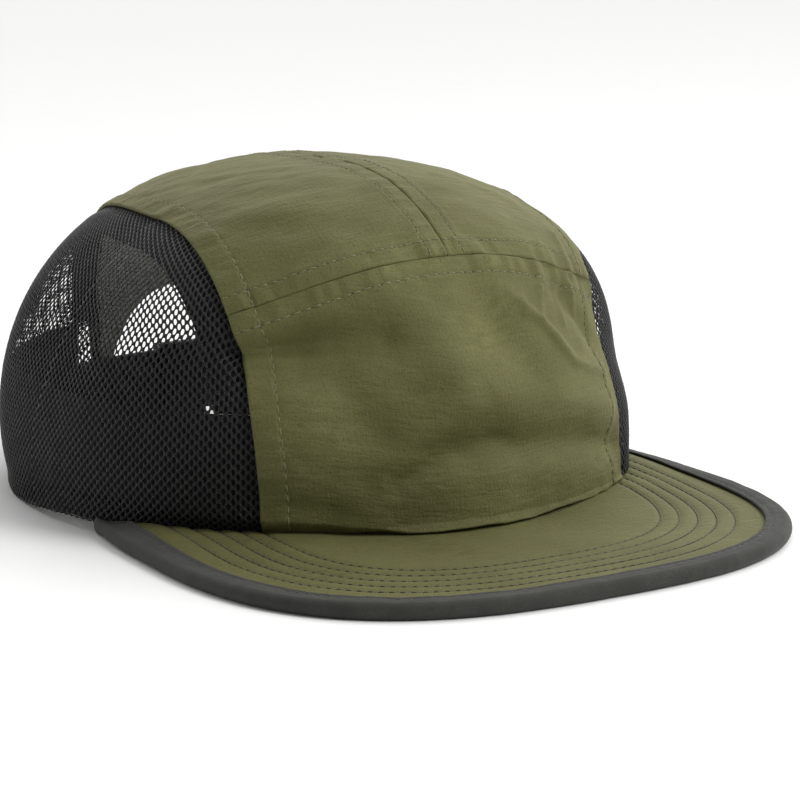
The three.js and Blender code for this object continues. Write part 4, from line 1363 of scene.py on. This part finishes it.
# The floor, a sky and one lamp. The sky's strength is a low level all round plus, for each glow,
# a power of the cosine of the angle to its middle.
def buildStage():
    look = stageLook
    half = look["floorHalf"]
    mesh = bpy.data.meshes.new("floor")
    mesh.from_pydata([(-half, -half, 0), (half, -half, 0), (half, half, 0), (-half, half, 0)], [],
                     [(0, 1, 2, 3)])
    mesh.materials.append(makeMaterial("matt_paper", look["floor"]))
    floor = bpy.data.objects.new("floor", mesh)
    bpy.context.scene.collection.objects.link(floor)
    floor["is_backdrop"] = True

    world = bpy.data.worlds.new("studio")
    world.use_nodes = True
    tree = world.node_tree
    sky = addNode(tree, "TexCoord").outputs["Generated"]
    strength = look["around"]
    for place, glow, power in look["glows"]:
        way = tuple(np.array(place) / np.linalg.norm(place))
        facing = addNode(tree, "VectorMath", {"operation": "DOT_PRODUCT", 1: way}, {0: sky})
        facing = addNode(tree, "Math", {"operation": "MAXIMUM", 1: 0.0},
                         {0: facing.outputs["Value"]}).outputs[0]
        lobe = addNode(tree, "Math", {"operation": "POWER", 1: power}, {0: facing}).outputs[0]
        node = addNode(tree, "Math", {"operation": "MULTIPLY_ADD", 1: glow}, {0: lobe})
        if isinstance(strength, float):
            node.inputs[2].default_value = strength
        else:
            tree.links.new(strength, node.inputs[2])
        strength = node.outputs[0]
    # behind the floor's edge the studio is plain white to the eye; the light on the cap is as above
    seen = addNode(tree, "LightPath").outputs["Is Camera Ray"]
    strength = addNode(tree, "Math", {"operation": "MAXIMUM"}, {0: strength, 1: seen}).outputs[0]
    background = tree.nodes["Background"]
    background.inputs["Color"].default_value = (1, 1, 1, 1)
    tree.links.new(strength, background.inputs["Strength"])
    bpy.context.scene.world = world
    bpy.context.scene.view_settings.view_transform = "Standard"

    light = bpy.data.lights.new("softbox", "AREA")
    light.shape, light.size, light.energy = "DISK", look["softboxSize"], look["softboxPower"]
    lamp = bpy.data.objects.new("softbox", light)
    lamp.location = look["softboxPlace"]
    way = mathutils.Vector(look["softboxAim"]) - lamp.location
    lamp.rotation_euler = way.to_track_quat("-Z", "Y").to_euler()
    bpy.context.scene.collection.objects.link(lamp)


# The camera as it was fitted to the photograph's outline and seams.
view = {
    "azimuth": -29.42461, "elevation": 11.54461, "roll": -1.02377,
    "target": (6.56276, -41.10769, 27.45667), "distance": 705.7437, "lens": 114.04,
    "sensor": 36, "near": 0.05, "far": 20,
}


# Stands back from the target along two angles, then turns by the roll.
def placeCamera():
    turn, rise, roll = (math.radians(view[key]) for key in ("azimuth", "elevation", "roll"))
    back = np.array([math.sin(turn) * math.cos(rise), -math.cos(turn) * math.cos(rise),
                     math.sin(rise)])
    right = np.cross(-back, (0, 0, 1))
    right /= np.linalg.norm(right)
    up = np.cross(right, -back)
    rolledRight = right * math.cos(roll) + up * math.sin(roll)
    rolledUp = -right * math.sin(roll) + up * math.cos(roll)
    target = np.array(view["target"]) + (0, shiftY, 0)
    place = (target + back * view["distance"]) / 1000
    camera = bpy.data.cameras.new("camera")
    camera.lens, camera.sensor_width = view["lens"], view["sensor"]
    camera.clip_start, camera.clip_end = view["near"], view["far"]
    holder = bpy.data.objects.new("camera", camera)
    bpy.context.scene.collection.objects.link(holder)
    matrix = np.eye(4)
    matrix[:3, 0], matrix[:3, 1], matrix[:3, 2], matrix[:3, 3] = rolledRight, rolledUp, back, place
    holder.matrix_world = mathutils.Matrix(matrix.tolist())
    bpy.context.scene.camera = holder


buildStage()
placeCamera()
print("stage: lit and framed")

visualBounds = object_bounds()
({"cad": [list(corner) for corner in cadBounds],
           "visual": [list(corner) for corner in visualBounds]})
